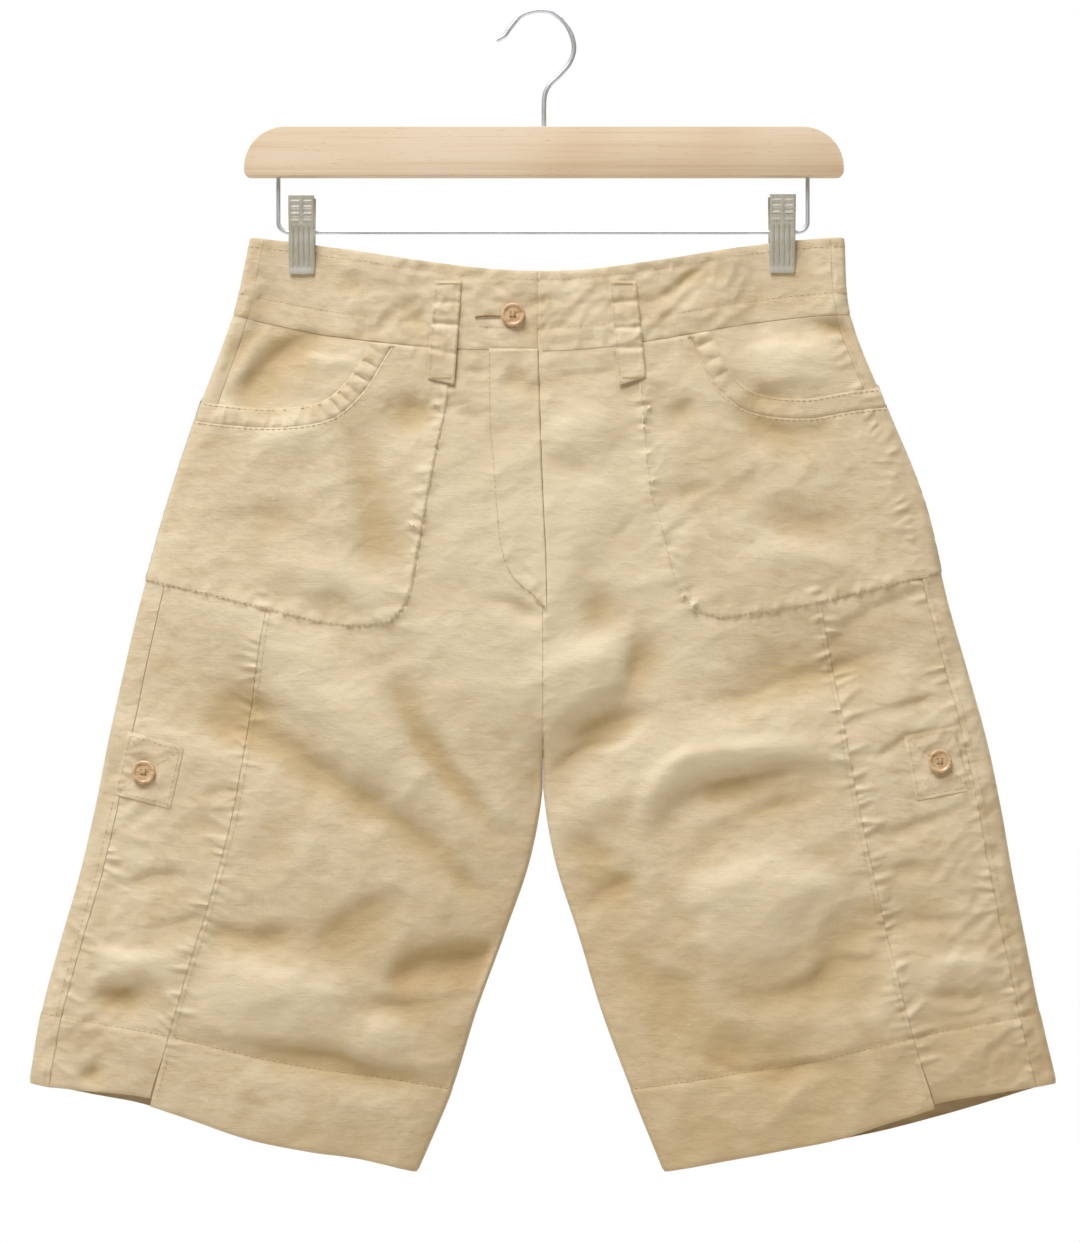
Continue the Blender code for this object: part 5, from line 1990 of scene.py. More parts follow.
@dataclass
class Patches:
    """What is sewn flat on the panels: pockets and their bands, the fly, its guard, and the tabs."""

    cloth: Cloth
    lift: float = 0.75
    thickness: float = 0.7
    mouth_pitch: float = 1.2
    puff_pitch: float = 10.5
    puff_height: float = 1.9
    puff_spans: dict = field(default_factory=lambda: {
        Half.RIGHT: (0.2, 42, 36, 52), Half.LEFT: (0.06, 10, 12, 24)})
    fly_lift: tuple = (0.04, 0.22)
    guard_lift: float = -3.0
    guard_across: tuple = (-37.0, 12.0)
    guard_down: tuple = (-168, -369.0)

    def build(self) -> None:
        """Makes every patch."""
        for half in Half:
            self.pocket(half)
            self.mouth_band(half)
            self.tab(half)
        self.fly()
        self.guard()

    def pocket(self, half: Half) -> None:
        """Makes one round patch pocket, from its band's seam to its stitched edge.

        Args:
            half: Which half it is.
        """
        mouth = below_band(self.cloth.form, even_points(smooth_curve(POCKET_MOUTH[half], 120), 1.0))
        edge = below_band(self.cloth.form, even_points(smooth_curve(POCKET_EDGE[half], 200), 2.3))
        mouth = smooth_curve(mouth, len(edge) - 1)
        cut = self.cloth.ruled(mouth, edge, 80, self.lift, "tbl", 0.6)
        self.cloth.shell("pocket" + half.suffix, cut, self.thickness, self.cloth.finishes.linen)

    def mouth_band(self, half: Half) -> None:
        """Makes the puckered band along one pocket's opening.

        Args:
            half: Which half it is.
        """
        form = self.cloth.form
        mouth = below_band(form, even_points(smooth_curve(POCKET_MOUTH[half], 120), self.mouth_pitch))
        lower, upper = beside(mouth, half.value * 0.2), beside(mouth, half.value * MOUTH_BAND)
        # The band is cut off along the waistband's seam, and starts where it is wide enough
        share = np.linspace(0, 1, 25)[:, None, None]
        spots = upper[None] * (1 - share) + lower[None] * share
        below = form.locate(spots[..., 0], spots[..., 1])[2] >= BAND_FOOT_ROW
        start = np.where(below.any(axis=0), below.argmax(axis=0), 24)
        wide = start <= 20
        upper = spots[start, np.arange(len(mouth))][wide]
        lower, steps = lower[wide], 10
        swell = np.sin(np.pi * np.linspace(0.04, 0.96, steps + 1))[:, None]
        lift = self.lift - 0.1 + self.puffs(half, len(lower))[None] * swell
        cut = self.cloth.ruled(upper, lower, steps, lift, "tb", 0.5)
        self.cloth.shell("pocket_band" + half.suffix, cut, self.thickness, self.cloth.finishes.linen_side)

    def puffs(self, half: Half, count: int) -> Array:
        """How far the band swells between the puckers of its seam, along the opening.

        Args:
            half: Whose pocket it is on.
            count: Points along the band.

        Returns:
            A height for each point.
        """
        chance = np.random.default_rng([SEED, 5 + half.value])
        place = np.arange(count) * self.mouth_pitch
        stops = np.cumsum(np.concatenate([[0], self.puff_pitch * chance.uniform(0.65, 1.35, 40)]))
        share = np.interp(place, stops, np.arange(len(stops)))
        tall = chance.uniform(0.5, 1.25, len(stops))[share.astype(int)]
        least, middle, flat, span = self.puff_spans[half]
        strong = least + plateau(place - middle, flat, span)
        return self.puff_height * tall * strong * (np.abs(np.sin(np.pi * share)) ** 0.6 - 0.45)

    def fly(self) -> None:
        """Makes the overlap of the opening; it thins into the panel at its J seam."""
        edge = smooth_curve(FLY_EDGE, 110)
        seam = smooth_curve(FLY_STITCH, 110)
        share, wide = np.linspace(0, 1, 21)[:, None], np.hypot(*(edge - seam).T)[None]
        least, swell = self.fly_lift
        lift = least + swell * smooth_step(0, 0.35, share) * np.minimum(1, wide / 20)
        cut = self.cloth.ruled(seam, edge, 20, lift, "b", 0.18)
        self.cloth.shell("fly", cut, self.thickness, self.cloth.finishes.linen, rounded=False)

    def guard(self) -> None:
        """Makes the strip behind the opening."""
        down = np.linspace(*self.guard_down, 90)
        first, second = (np.column_stack([np.full(90, x), down]) for x in self.guard_across)
        cut = self.cloth.ruled(first, second, 20, self.guard_lift, "")
        self.cloth.shell("fly_guard", cut, self.thickness, self.cloth.finishes.linen)

    def tab(self, half: Half) -> None:
        """Makes one small stitched patch on the side panel.

        Args:
            half: Which half it is.
        """
        corners = np.asarray(TABS[half], float)
        top, foot = even_points(corners[[0, 1]], 1.25), even_points(corners[[3, 2]], 1.25)
        count = min(len(top), len(foot))
        cut = self.cloth.ruled(top[:count], foot[:count], 30, self.lift, "tblr", 0.3)
        self.cloth.shell("tab" + half.suffix, cut, self.thickness - 0.1, self.cloth.finishes.linen)


@dataclass
class BeltLoops:
    """The belt loops, each a folded strip that stands off the band in its middle."""

    cloth: Cloth
    thickness: float = 1.1
    top: float = -171.0
    foot: float = -235.0
    arch: float = 0.8
    off_band: float = 1.45
    off_foot: float = 0.95
    dents: tuple = ((0.19, 0.9), (0.455, 1.25), (0.695, 0.95))

    def build(self) -> None:
        """Makes the five loops."""
        for loop in BELT_LOOPS:
            self.loop(loop)

    def loop(self, loop: Loop) -> None:
        """Makes one loop, with soft dents across it.

        Args:
            loop: Where it is sewn on.
        """
        down = np.linspace(0, 1, 66)[:, None]
        aside = np.linspace(-0.5, 0.5, 17)[None, :]
        x, z = self.spot(loop, down, aside)
        half, girth, row = self.cloth.form.locate(x, z, loop.face)
        cut = Cut(half, girth, row, self.cloth.rolled(self.lift(loop, down, aside), "tblr", 0.45))
        self.cloth.shell(loop.node, cut, self.thickness, self.cloth.finishes.linen_side)

    def spot(self, loop: Loop, down: Array, aside: Array | float) -> tuple[Array, Array]:
        """Where a loop's points are in (x, z), square to its lean at the foot.

        Args:
            loop: Where it is sewn on.
            down: Shares of its length, from the top.
            aside: Shares of its width, from its middle.

        Returns:
            Where they are across and in height.
        """
        run = loop.x_foot - loop.x_top
        z = self.top + (self.foot - self.top) * down + 0.85 * run * aside * down**2
        return loop.x_top + run * down + aside * loop.width, z

    def lift(self, loop: Loop, down: Array, aside: Array | float) -> Array:
        """How far a loop's points stand off the panel.

        Args:
            loop: Where it is sewn on.
            down: Shares of its length, from the top.
            aside: Shares of its width, from its middle.

        Returns:
            A height for each point.
        """
        lift = self.off_band + self.off_foot * smooth_step(0.5, 0.75, down) + self.arch * np.sin(np.pi * down)
        for place, depth in self.dents:
            bent = down - place - 0.03 * np.sin(0.1 * loop.x_top + 9 * place) - 0.09 * aside * (place - 0.4)
            bulge = 0.35 * np.exp(-(((bent - 0.06) / 0.045) ** 2))
            lift = lift - depth * np.exp(-((bent / 0.028) ** 2)) + bulge
        return lift - 0.3 * np.exp(-(((np.abs(aside) - 0.36) / 0.05) ** 2))


class SeamLine(NamedTuple):
    """A line of stitches: half, girth and row along it, and how far off the panel it lies."""

    half: Array
    girth: Array
    row: Array
    lift: float | Array


@dataclass
class Stitching:
    """Every line of stitches, joined to one mesh for each stretch of the garment."""

    cloth: Cloth
    stitch: float = 2.9
    pitch: float = 3.7
    radius: float = 0.22
    flatness: float = 0.8
    tack_pitch: float = 0.5
    edge_inset: float = 1.3
    loop_sides: tuple = (-0.44, 0.44)
    on_panel: float = 0.1
    on_hem: float = 0.35
    on_pocket: float = 0.8
    on_tab: float = 0.85
    loop_tacks: tuple = ((-173.0, 1.7), (-232.8, 2.6))
    fly_tack: tuple = ((-5.0, -372.5), (1.6, -377.5))
    slit_points: tuple = ((-43.0, -194.3), (-35.0, -193.2), (-27.0, -193.6))
    slit_edge: float = 0.7

    def build(self) -> None:
        """Makes the stitches of each half, the fly, the loops and the tabs."""
        for half in Half:
            self.run("stitches_front" + half.suffix, self.front_lines(half))
            self.run("stitches_back" + half.suffix, self.back_lines(half))
        self.run("stitches_fly", [self.along(smooth_curve(FLY_STITCH, 90), 0.14)])
        lines = [self.beside_loop(loop, side) for loop in BELT_LOOPS for side in self.loop_sides]
        self.run("stitches_loops", lines)
        self.bar_tacks()
        self.slit()

    def along(self, points: Array, lift: float, face: Face = Face.FRONT) -> SeamLine:
        """A line through points of the (x, z) plane.

        Args:
            points: The points.
            lift: How far off the panel it lies.
            face: The side of the garment that it is on.

        Returns:
            The line.
        """
        line = even_points(points, 1.5)
        if face is Face.FRONT:
            line = below_band(self.cloth.form, line)
        return SeamLine(*self.cloth.form.locate(line[:, 0], line[:, 1], face), lift)

    def on_wall(self, half: Half, column: Array, row: Array, lift: float) -> SeamLine:
        """A line through columns and rows of the wall."""
        girth = self.cloth.form.columns(half.value, row, column)
        return SeamLine(np.full(row.shape, float(half.value)), girth, row, lift)

    def across(self, half: Half, row: float, first: float, last: float, lift: float) -> SeamLine:
        """A line along a row, between two columns."""
        return self.on_wall(half, np.linspace(first, last, 160), np.full(160, row), lift)

    def down(self, half: Half, column: float, first: float, last: float, lift: float) -> SeamLine:
        """A line down a column, between two rows."""
        return self.on_wall(half, np.full(220, column), np.linspace(first, last, 220), lift)

    def beside_loop(self, loop: Loop, aside: float) -> SeamLine:
        """A line down a belt loop beside its edge.

        Args:
            loop: Where the loop is.
            aside: A share of its width, from its middle.

        Returns:
            The line.
        """
        loops, down = BeltLoops(self.cloth), np.linspace(0.01, 0.99, 80)
        x, z = loops.spot(loop, down, aside)
        half, girth, row = self.cloth.form.locate(x, z, loop.face)
        return SeamLine(half, girth, row, loops.lift(loop, down, aside))

    def front_lines(self, half: Half) -> list[SeamLine]:
        """The stitched lines on one half's front.

        Args:
            half: Which half it is.

        Returns:
            The lines.
        """
        way = half.value
        edge = smooth_curve(POCKET_EDGE[half], 90)
        mouth = smooth_curve(POCKET_MOUTH[half], 60)
        corners = np.asarray(TABS[half], float)
        inset = corners + 0.12 * (corners.mean(axis=0) - corners)
        box = np.vstack([inset, inset[:1]])
        first = 0.4 if half is Half.LEFT else 1.2
        lines = [self.across(half, row, first, SIDE_COLUMN - 0.1, self.on_panel) for row in BAND_STITCH_ROWS]
        lines += [
            self.across(half, HEM_STITCH_ROW, 0.5, PANEL_COLUMN - 0.1, self.on_hem),
            self.across(half, HEM_STITCH_ROW, PANEL_COLUMN + 0.1, SIDE_COLUMN - 0.1, self.on_hem),
            self.along(beside(edge, way * self.edge_inset), self.on_pocket),
            self.along(beside(mouth, -way * self.edge_inset), self.on_pocket),
            self.along(beside(mouth, way * (MOUTH_BAND - 1.4)), self.on_pocket),
            self.down(half, PANEL_COLUMN - 0.16, POCKET_HEM_ROW + 0.1, 10.9, 0.15),
            self.down(half, SIDE_COLUMN + 0.28, 6.6 if half is Half.RIGHT else 1.1, 10.95, self.on_panel),
        ]
        lines += [self.along(box[[start, start + 1]], self.on_tab) for start in range(4)]
        lines += [self.along(inset[[0, 2]], self.on_tab), self.along(inset[[1, 3]], self.on_tab)]
        return lines

    def back_lines(self, half: Half) -> list[SeamLine]:
        """The stitched lines on one half's back.

        Args:
            half: Which half it is.

        Returns:
            The lines.
        """
        first = SIDE_COLUMN + 0.2
        lines = [self.across(half, row, first, LAST_COLUMN, self.on_panel) for row in BAND_STITCH_ROWS]
        return lines + [
            self.across(half, 1.06, FOLD_COLUMN, LAST_COLUMN, self.on_panel),
            self.across(half, HEM_STITCH_ROW, SIDE_COLUMN + 0.1, LAST_COLUMN - 0.3, self.on_hem),
            self.down(half, LAST_COLUMN - 1.6, 1.1, 5.6, self.on_panel),
        ]

    def run(self, name: str, lines: list[SeamLine]) -> None:
        """Makes one joined mesh of stitches.

        Args:
            name: The piece's name.
            lines: The lines it has.
        """
        bm = bmesh.new()
        for line in lines:
            for centre, along, out in self.spots(line):
                self.add_stitch(bm, centre, along, out)
        enter(new_object(name, bm, self.cloth.finishes.thread, 60))

    def spots(self, line: SeamLine) -> list[tuple[Array, Array, Array]]:
        """The centre, run and outward direction of each stitch of a line.

        Args:
            line: The line.

        Returns:
            Three vectors for each stitch.
        """
        lift = np.full(line.girth.shape, line.lift)
        points, _ = self.cloth.drape.points(Cut(line.half, line.girth, line.row, lift))
        out = self.cloth.form.facing(line.half, line.girth, line.row)
        away = distances(points)
        marks = np.arange(self.pitch / 2, away[-1], self.pitch)

        def at(distance: Array, values: Array) -> Array:
            """Values at distances along the line."""
            return np.stack([np.interp(distance, away, values[:, axis]) for axis in range(3)], axis=-1)

        ways = at(marks + 0.8, points) - at(marks - 0.8, points)
        return list(zip(at(marks, points), ways, at(marks, out)))

    def add_stitch(self, bm: bmesh.types.BMesh, centre: Array, along: Array, out: Array,
                   share: float = 1.0) -> None:
        """Adds one rounded stitch lying on the cloth, a share of the usual length.

        Args:
            bm: What it is added to.
            centre: Its middle.
            along: The way it runs.
            out: The way off the cloth.
            share: How long it is.
        """
        way = Vector(along).normalized()
        up = (Vector(out) - way * way.dot(Vector(out))).normalized()
        turn = Matrix((way, up.cross(way), up)).transposed().to_4x4()
        size = Matrix.Diagonal((share * self.stitch / 2, self.radius, self.radius * self.flatness, 1))
        copy = self.one_stitch().copy()
        copy.transform(Matrix.Translation(Vector(centre)) @ turn @ size)
        bm.from_mesh(copy)
        bpy.data.meshes.remove(copy)

    @staticmethod
    def one_stitch() -> bpy.types.Mesh:
        """The plain rounded shape that every stitch is made from.

        Returns:
            The mesh, which reaches 1 each way.
        """
        mesh = bpy.data.meshes.get("one_stitch")
        if mesh is None:
            mesh = bpy.data.meshes.new("one_stitch")
            shape = bmesh.new()
            bmesh.ops.create_uvsphere(shape, u_segments=6, v_segments=4, radius=1.0)
            shape.to_mesh(mesh)
            shape.free()
        return mesh

    def bar_tacks(self) -> None:
        """Makes the dense bars at the loops, pocket corners and foot of the fly, and round the buttonhole."""
        bm = bmesh.new()
        (top, top_lift), (foot, foot_lift) = self.loop_tacks
        for loop in BELT_LOOPS:
            for x, z, lift in ((loop.x_foot, foot, foot_lift), (loop.x_top, top, top_lift)):
                ends = np.array([[x - loop.width * 0.38, z], [x + loop.width * 0.38, z]])
                self.tack(bm, self.along(ends, lift, loop.face))
        for half in Half:
            corner = below_band(self.cloth.form, smooth_curve(POCKET_MOUTH[half], 60))[0]
            self.tack(bm, self.along(corner + np.array([[-half.value, -1.5], [half.value * 4, -1.5]]), 1.0))
        self.tack(bm, self.along(np.array(self.fly_tack), 0.9))
        for aside in (-self.slit_edge, self.slit_edge):
            self.tack(bm, self.along(beside(self.slit_points, aside), 0.45), 0.36)
        enter(new_object("bar_tacks", bm, self.cloth.finishes.thread, 60))

    def tack(self, bm: bmesh.types.BMesh, line: SeamLine, share: float = 0.5) -> None:
        """Adds dense stitches square to a line, each a share of the usual length."""
        for centre, along, out in Stitching(self.cloth, pitch=self.tack_pitch).spots(line):
            self.add_stitch(bm, centre, np.cross(along, out), out, share)

    def slit(self) -> None:
        """Makes a dark tube between the buttonhole's edges, painted shade for its slit."""
        line = self.along(smooth_curve(self.slit_points, 12), 0.25)
        lift = np.full(line.girth.shape, line.lift)
        path, _ = self.cloth.drape.points(Cut(line.half, line.girth, line.row, lift))
        enter(new_object("buttonhole_painted_shade", sweep(path, 0.42, 6), self.cloth.finishes.shade, 60))


# Hard pieces


def sweep(path: Array, radius: float, sides: int, bm: bmesh.types.BMesh | None = None) -> bmesh.types.BMesh:
    """A capped round tube along a path.

    Args:
        path: Points in millimetres.
        radius: The tube's radius.
        sides: How many sides it has.
        bm: What it is added to, a new one where it is None.

    Returns:
        The bmesh.
    """
    bm = bm or bmesh.new()
    points = [Vector(point) for point in path]
    around = zip(points[:1] + points[:-1], points[1:] + points[-1:])
    ways = [(after - before).normalized() for before, after in around]
    turn = ways[0].to_track_quat("Z", "Y")
    place = Matrix.Translation(points[0]) @ turn.to_matrix().to_4x4()
    ring = bmesh.ops.create_circle(bm, cap_ends=False, segments=sides, radius=radius, matrix=place)["verts"]
    first = last = list({edge for vert in ring for edge in vert.link_edges})
    for before, way, point in zip(ways, ways[1:], points[1:]):
        turn = before.rotation_difference(way) @ turn
        goal = Matrix.Translation(point) @ turn.to_matrix().to_4x4()
        grown = bmesh.ops.extrude_edge_only(bm, edges=last)["geom"]
        verts = [part for part in grown if isinstance(part, bmesh.types.BMVert)]
        last = [part for part in grown if isinstance(part, bmesh.types.BMEdge)]
        bmesh.ops.transform(bm, matrix=goal @ place.inverted(), verts=verts)
        place = goal
    for loop in (first, last):
        bmesh.ops.edgeloop_fill(bm, edges=loop)
    bmesh.ops.recalc_face_normals(bm, faces=bm.faces)
    return bm


@dataclass
class Buttons:
    """The horn buttons, turned with a sunk middle and sewn through four holes."""

    cloth: Cloth
    rim: tuple = ((5.0, 1.6), (5.4, 2.0), (6.0, 2.45), (6.6, 2.5), (7.1, 2.3), (7.45, 1.8), (7.5, 1.3),
                  (7.2, 0.7), (6.4, 0.25), (5.2, 0.0))
    floor: float = 1.6
    hole_circle: float = 1.9
    hole_radius: float = 0.75
    thread_radius: float = 0.24
    thread_apart: float = 0.28
    stitch_route: tuple = ((1.0, -0.5), (1.0, 1.2), (0.86, 1.9), (0.4, 2.2), (-0.4, 2.2), (-0.86, 1.9),
                           (-1.0, 1.2), (-1.0, -0.5))

    def build(self) -> None:
        """Makes the three buttons."""
        form = self.cloth.form
        for button in BUTTONS:
            half, girth, row = form.locate(np.array([button.x]), np.array([button.z]))
            lift = np.array([button.lift])
            point, _ = self.cloth.drape.points(Cut(half, girth, row, lift))
            out = Vector(form.facing(half, girth, row)[0])
            side = Vector((0, 0, 1)).cross(out).normalized()
            turn = Matrix((side, out.cross(side), out)).transposed().to_4x4()
            place = Matrix.Translation(Vector(point[0])) @ turn
            self.disc(button.node, place)
            self.threads(button.node, place)

    def disc(self, node: str, place: Matrix) -> None:
        """Makes one button.

        Args:
            node: The solid it stands for.
            place: Its place and turn.
        """
        bm = bmesh.new()
        profile = [bm.verts.new((radius, 0, height)) for radius, height in self.rim]
        edges = [bm.edges.new(pair) for pair in zip(profile, profile[1:])]
        bmesh.ops.spin(bm, geom=profile + edges, cent=(0, 0, 0), axis=(0, 0, 1), angle=2 * math.pi, steps=40,
                       use_merge=True)
        bmesh.ops.remove_doubles(bm, verts=bm.verts, dist=0.001)
        self.floor_with_holes(bm)
        bmesh.ops.recalc_face_normals(bm, faces=bm.faces)
        bmesh.ops.transform(bm, matrix=place, verts=bm.verts)
        enter(new_object("horn_" + node, bm, self.cloth.finishes.horn, 35), [node])

    def floor_with_holes(self, bm: bmesh.types.BMesh) -> None:
        """Closes the middle of a button, but for four holes right through.

        Args:
            bm: The button's rim.
        """
        rings = {height: [edge for edge in bm.edges if edge.is_boundary
                          and all(abs(vert.co.z - height) < 0.01 for vert in edge.verts)]
                 for height in (self.floor, 0.0)}
        for corner in range(4):
            angle = math.radians(45 + 90 * corner)
            centre = (self.hole_circle * math.cos(angle), self.hole_circle * math.sin(angle))
            pair = []
            for height, ring in rings.items():
                verts = bmesh.ops.create_circle(bm, segments=12, radius=self.hole_radius,
                                                matrix=Matrix.Translation((*centre, height)))["verts"]
                edges = list({edge for vert in verts for edge in vert.link_edges})
                ring += edges
                pair += edges
            bmesh.ops.bridge_loops(bm, edges=pair)
        for ring in rings.values():
            bmesh.ops.triangle_fill(bm, use_beauty=True, edges=ring)

    def threads(self, node: str, place: Matrix) -> None:
        """Makes the crossed threads that hold one button, and its shank of thread.

        Args:
            node: The button's solid.
            place: The button's place and turn.
        """
        bm = bmesh.new()
        reach = self.hole_circle
        for angle in (45, 135):
            turn = math.radians(angle)
            for aside in (-self.thread_apart, self.thread_apart):
                x, y = reach * math.cos(turn), reach * math.sin(turn)
                off = Vector((-math.sin(turn) * aside, math.cos(turn) * aside, 0))
                path = [place @ (Vector((x * share, y * share, z)) + off) for share, z in self.stitch_route]
                sweep(np.array(path), self.thread_radius, 6, bm)
        enter(new_object("thread_" + node, bm, self.cloth.finishes.thread, 60))


@dataclass
class Bar:
    """The wooden bar: round shoulders, eased edges and a bevelled foot."""

    finishes: Finishes
    length: float = 380.0
    height: float = 31.3
    depth: float = 14.0
    centre: float = 0.6
    top: float = -73.0
    shoulder: float = 26.0
    corner: float = 3.2
    foot_bevel: float = 3.4
    easing: float = 1.7

    def build(self) -> None:
        """Makes the bar from a block."""
        bm = bmesh.new()
        middle = Matrix.Translation((self.centre, 0, self.top - self.height / 2))
        size = Matrix.Diagonal((self.length, self.depth, self.height, 1))
        bmesh.ops.create_cube(bm, size=1, matrix=middle @ size)
        foot = self.top - self.height
        self.round(bm, self.top, False, self.shoulder, 14)
        self.round(bm, foot, False, self.corner, 3)
        self.round(bm, foot, True, self.foot_bevel, 1)
        sharp = [edge for edge in bm.edges if edge.calc_face_angle(0) > math.radians(30)]
        self.bevel(bm, sharp, self.easing, 4)
        bmesh.ops.recalc_face_normals(bm, faces=bm.faces)
        enter(new_object("beech_bar", bm, self.finishes.beech, 50), ["hanger_bar"])

    def round(self, bm: bmesh.types.BMesh, height: float, lengthwise: bool, offset: float,
              segments: int) -> None:
        """Bevels the edges of the top or the foot that run lengthwise, or else across.

        Args:
            bm: The bar.
            height: The height that they are at.
            lengthwise: Whether they run along the bar.
            offset: How far the rounding reaches.
            segments: Its steps.
        """
        edges = [edge for edge in bm.edges if all(abs(vert.co.z - height) < 0.1 for vert in edge.verts)
                 and (abs(edge.verts[0].co.x - edge.verts[1].co.x) > 1) is lengthwise]
        self.bevel(bm, edges, offset, segments)

    @staticmethod
    def bevel(bm: bmesh.types.BMesh, edges: list[bmesh.types.BMEdge], offset: float, segments: int) -> None:
        """Rounds edges off in a number of steps."""
        bmesh.ops.bevel(bm, geom=edges, offset=offset, offset_type="OFFSET", affect="EDGES",
                        segments=segments, profile=0.5, material=-1, clamp_overlap=True)


@dataclass
class Wires:
    """The hook above the bar and the rail below it."""

    finishes: Finishes
    hook_radius: float = 1.5
    rail_radius: float = 1.3
    rail_z: float = -139.3
    rail_half: float = 168.1
    rail_bend: float = 6.4
    rail_top: float = -96.0
    hook_route: tuple = ((-29.5, -17.3), (-24.6, -14.6), (-20.8, -9.4), (-14.6, -2.2), (-8.2, 0.6),
                         (-1.2, 1.5), (6.0, 0.2), (13.2, -5.4), (18, -13.6), (19.7, -23), (16.8, -32),
                         (10.5, -39.6), (4.0, -46), (1.2, -52), (0.6, -60), (0.6, -68), (0.6, -88.5))

    def build(self) -> None:
        """Makes both wires."""
        route = smooth_curve(self.hook_route, 150)
        path = np.column_stack([route[:, 0], np.zeros(len(route)), route[:, 1]])
        hook = sweep(path, self.hook_radius, 18)
        enter(new_object("wire_hook", hook, self.finishes.wire), ["hanger_hook"])
        corner_x, corner_z = self.rail_half - self.rail_bend, self.rail_z + self.rail_bend
        turn = np.linspace(0, math.pi / 2, 12)
        bend = np.column_stack([corner_x + self.rail_bend * np.cos(turn), np.zeros(12),
                                corner_z - self.rail_bend * np.sin(turn)])
        right = np.vstack([[self.rail_half, 0, self.rail_top], bend])
        rail = sweep(np.vstack([right, right[::-1] * (-1, 1, 1)]), self.rail_radius, 16)
        enter(new_object("wire_rail", rail, self.finishes.wire), ["clip_rail"])


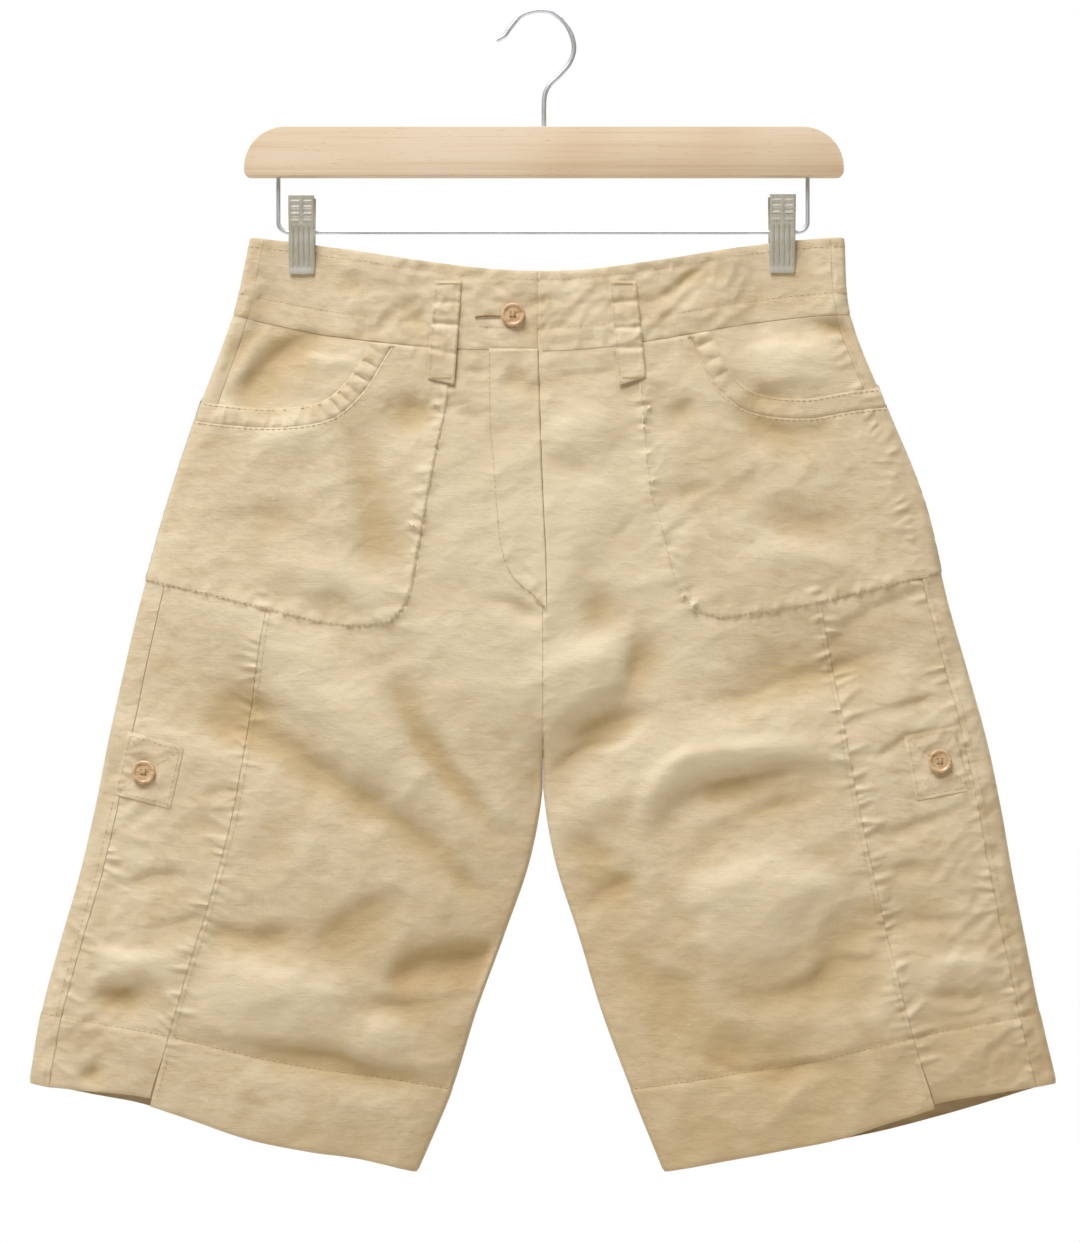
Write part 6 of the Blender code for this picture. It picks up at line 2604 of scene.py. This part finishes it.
@dataclass
class Clips:
    """The two pressed clips: ribbed plates with slots, ears round the rail, and a coil spring."""

    finishes: Finishes
    width: float = 16.5
    sheet: float = 1.0
    rail_z: float = -139.3
    profile: tuple = ((9.0, 0), (8.2, 8), (5.2, 20), (4.6, 30), (2.8, 41), (1.9, 45), (1.9, 49.2))
    slot_rows: tuple = (3.6, 7.2, 10.9, 14.6)
    slot_shape: tuple = ((-1.9, 0), (-1.4, -0.42), (0.7, 0.4), (1.2, -0.5), (1.8, 0))
    groove_pitch: float = 3.3
    groove_depth: float = 0.55
    ear_rings: tuple = (4.4, 1.6)
    ear_reach: float = 5.6
    wire_radius: float = 0.62
    coil_radius: float = 2.35
    coil_turns: float = 6.5
    coil_half: float = 4.4
    legs: tuple = ((4.2, 13.0), (3.2, 6.0))

    def build(self) -> None:
        """Makes both clips."""
        for clip in CLIPS:
            for way, end in ((-1, "_front"), (1, "_back")):
                self.plate(clip, way, end)
            self.spring(clip)

    def pressed(self, across: Array, down: Array) -> Array:
        """How far the pressing lifts a plate: a middle rib, grooves below and a lip at its foot.

        Args:
            across: Where the points are across the plate.
            down: How far below its top.

        Returns:
            A height for each.
        """
        lower = smooth_step(17.5, 19.5, down) * (1 - smooth_step(41.5, 46.0, down))
        pitch = self.groove_pitch
        comb = np.cos(np.pi * (across - pitch / 2) / pitch) ** 2 * (np.abs(across) < 2 * pitch)
        grooves = -self.groove_depth * lower * comb**6
        upper = (1 - smooth_step(16, 18, down)) * (0.45 + 0.55 * smooth_step(1.0, 9.0, down))
        louvres = sum(np.interp(down - row, *zip(*self.slot_shape)) for row in self.slot_rows)
        split = smooth_step(0.9, 1.6, np.abs(across)) * (1 - smooth_step(6.2, 7.0, np.abs(across)))
        rib = 0.3 * upper * np.exp(-((across / 0.8) ** 2))
        lip = 0.14 * smooth_step(44.5, 46.5, down) * (1 - smooth_step(47.8, 49.2, down))
        flange = -0.5 * smooth_step(7.4, 8.25, np.abs(across))
        return grooves + upper * louvres * split + rib + lip + flange

    def plate(self, clip: ClipPlace, way: int, end: str) -> None:
        """Makes one jaw: the plate, its side flanges and its ears.

        Args:
            clip: Where the clip is.
            way: -1 for the front jaw, 1 for the back one.
            end: What its name ends with.
        """
        rows, columns = 86, 41
        bm, row, column = grid_bmesh(rows, columns)
        down = self.profile[-1][1] * row / (rows - 1)
        across = self.width * (column / (columns - 1) - 0.5) * (1 - 0.07 * smooth_step(47.2, 49.4, down))
        depths, heights = np.transpose(self.profile).astype(float)
        curve = catmull_rom(depths[:, None], np.interp(down, heights, range(len(heights))))
        off = curve[:, 0] + self.sheet + self.pressed(across, down)
        for index, vert in enumerate(bm.verts):
            vert.co = (clip.x + across[index], way * off[index], clip.top - down[index])
        bm.normal_update()
        bm.faces.ensure_lookup_table()
        if bm.faces[0].normal.y * way < 0:
            bmesh.ops.reverse_faces(bm, faces=bm.faces)
        bmesh.ops.solidify(bm, geom=bm.faces[:], thickness=self.sheet)
        for side in (-1, 1):
            inset = 0.0 if way < 0 else self.sheet + 0.4
            self.ear(bm, clip.x + side * (self.width / 2 - inset - self.sheet / 2), way)
        piece = new_object("pressed_" + clip.node + end, bm, self.finishes.sheet_metal, 45)
        enter(piece, [clip.node + end])

    def ear(self, bm: bmesh.types.BMesh, x: float, way: int) -> None:
        """Adds one ear: a ring round the rail that reaches the plate.

        Args:
            bm: What it is added to.
            x: Where it is across.
            way: -1 for the front jaw, 1 for the back one.
        """
        turn = Matrix.Rotation(math.pi / 2, 4, "Y")
        place = Matrix.Translation((x - self.sheet / 2, 0, self.rail_z)) @ turn
        rings = [bmesh.ops.create_circle(bm, segments=28, radius=radius, matrix=place)["verts"]
                 for radius in self.ear_rings]
        for vert in rings[0]:
            if vert.co.y * way > 1.2:
                vert.co.y = way * self.ear_reach
        edges = list({edge for ring in rings for vert in ring for edge in vert.link_edges})
        faces = bmesh.ops.bridge_loops(bm, edges=edges)["faces"]
        grown = bmesh.ops.extrude_face_region(bm, geom=faces, use_keep_orig=True)["geom"]
        verts = [part for part in grown if isinstance(part, bmesh.types.BMVert)]
        bmesh.ops.translate(bm, vec=(self.sheet, 0, 0), verts=verts)
        bmesh.ops.recalc_face_normals(bm, faces=list({face for vert in (*rings[0], *rings[1], *verts)
                                                      for face in vert.link_faces}))

    def spring(self, clip: ClipPlace) -> None:
        """Makes the coil round the rail with its two legs against the plates.

        Args:
            clip: Where the clip is.
        """
        steps = 150
        angle = np.linspace(0, 2 * math.pi * self.coil_turns, steps) + math.pi / 2
        x = clip.x + self.coil_half * np.linspace(-1, 1, steps)
        y, z = self.coil_radius * np.cos(angle), self.rail_z + self.coil_radius * np.sin(angle)
        coil = np.column_stack([x, y, z])
        start = [(x[0], off, self.rail_z + up) for off, up in self.legs]
        end = [(x[-1], -off, self.rail_z + up) for off, up in reversed(self.legs)]
        path = np.vstack([start, coil, end])
        piece = new_object("coil_" + clip.node, sweep(path, self.wire_radius, 8), self.finishes.wire)
        enter(piece, [clip.node + "_spring"])


@dataclass
class Studio:
    """The camera, the plain floor and the soft light."""

    camera_place: tuple = (-0.0019, -2.4, -0.3863)
    lens: float = 109.5
    floor_z: float = -2.3
    floor_radius: float = 3.6
    floor_tones: tuple = ((0.86, 0.86, 0.85, 1), (0.9, 0.9, 0.89, 1))
    aim: tuple = (0.0, 0.0, -0.4)
    lamps: tuple = (("key", (-1.5, -2.35, 4.5), 2.6, 424.0, (0.96, 1.0, 1.08)),
                    ("back", (2.3, 2.9, 3.6), 1.6, 250.0, (1.0, 0.99, 0.975)))
    soft_colour: tuple = (1.0, 0.84, 0.54, 1)
    soft_strength: float = 0.3

    def build(self) -> None:
        """Sets the camera, floor, lamps and surroundings."""
        self.camera()
        self.floor()
        for lamp in self.lamps:
            self.lamp(*lamp)
        self.surroundings()
        bpy.context.scene.view_settings.view_transform = "Standard"

    def camera(self) -> None:
        """Makes the camera that looks along +Y."""
        data = bpy.data.cameras.new("camera")
        data.lens = self.lens
        data.sensor_width = 36.0
        made = bpy.data.objects.new("camera", data)
        made.location = self.camera_place
        made.rotation_euler = (math.pi / 2, 0, 0)
        bpy.context.scene.collection.objects.link(made)
        bpy.context.scene.camera = made

    def floor(self) -> None:
        """Makes the pale floor far below."""
        bm = bmesh.new()
        bmesh.ops.create_circle(bm, cap_ends=True, segments=96, radius=self.floor_radius / MM,
                                matrix=Matrix.Translation((0, 0, self.floor_z / MM)))
        shader = Shader("floor")
        place = shader.object_place()
        tone = shader.noise(place, 3.0, 3.0)
        shader.set(Base_Color=shader.mix(tone, *self.floor_tones), Roughness=0.8)
        new_object("floor", bm, shader.material)

    def lamp(self, name: str, place: Sequence[float], size: float, power: float,
             colour: Sequence[float]) -> None:
        """Makes one square area lamp that points at the garment.

        Args:
            name: Its name.
            place: Where it is, in metres.
            size: The length of its side.
            power: Its power in watts.
            colour: Its colour.
        """
        data = bpy.data.lights.new(name, "AREA")
        data.shape = "SQUARE"
        data.size = size
        data.energy = power
        data.color = colour
        made = bpy.data.objects.new(name, data)
        made.location = place
        made.rotation_euler = (Vector(self.aim) - Vector(place)).to_track_quat("-Z", "Y").to_euler()
        bpy.context.scene.collection.objects.link(made)

    def surroundings(self) -> None:
        """White to the camera, and a softer even light to the object."""
        world = bpy.data.worlds.new("studio")
        world.use_nodes = True
        bpy.context.scene.world = world
        nodes, links = world.node_tree.nodes, world.node_tree.links
        soft = nodes["Background"]
        soft.inputs["Color"].default_value = self.soft_colour
        soft.inputs["Strength"].default_value = self.soft_strength
        seen = nodes.new("ShaderNodeBackground")
        seen.inputs["Color"].default_value = (1, 1, 1, 1)
        seen.inputs["Strength"].default_value = 1.0
        ray = nodes.new("ShaderNodeLightPath")
        choice = nodes.new("ShaderNodeMixShader")
        links.new(ray.outputs["Is Camera Ray"], choice.inputs[0])
        links.new(soft.outputs[0], choice.inputs[1])
        links.new(seen.outputs[0], choice.inputs[2])
        links.new(choice.outputs[0], nodes["World Output"].inputs["Surface"])


def main() -> None:
    """Builds the garment, the hanger and the studio."""
    logging.basicConfig(level=logging.INFO, format="%(message)s")
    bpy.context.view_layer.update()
    finishes = Finishes()
    cloth = Cloth(make_drape(), finishes)
    for assembly in (Panels, Waistband, Patches, BeltLoops, Stitching, Buttons):
        assembly(cloth).build()
    for assembly in (Bar, Wires, Clips):
        assembly(finishes).build()
    Studio().build()


if __name__ == "__main__":
    main()
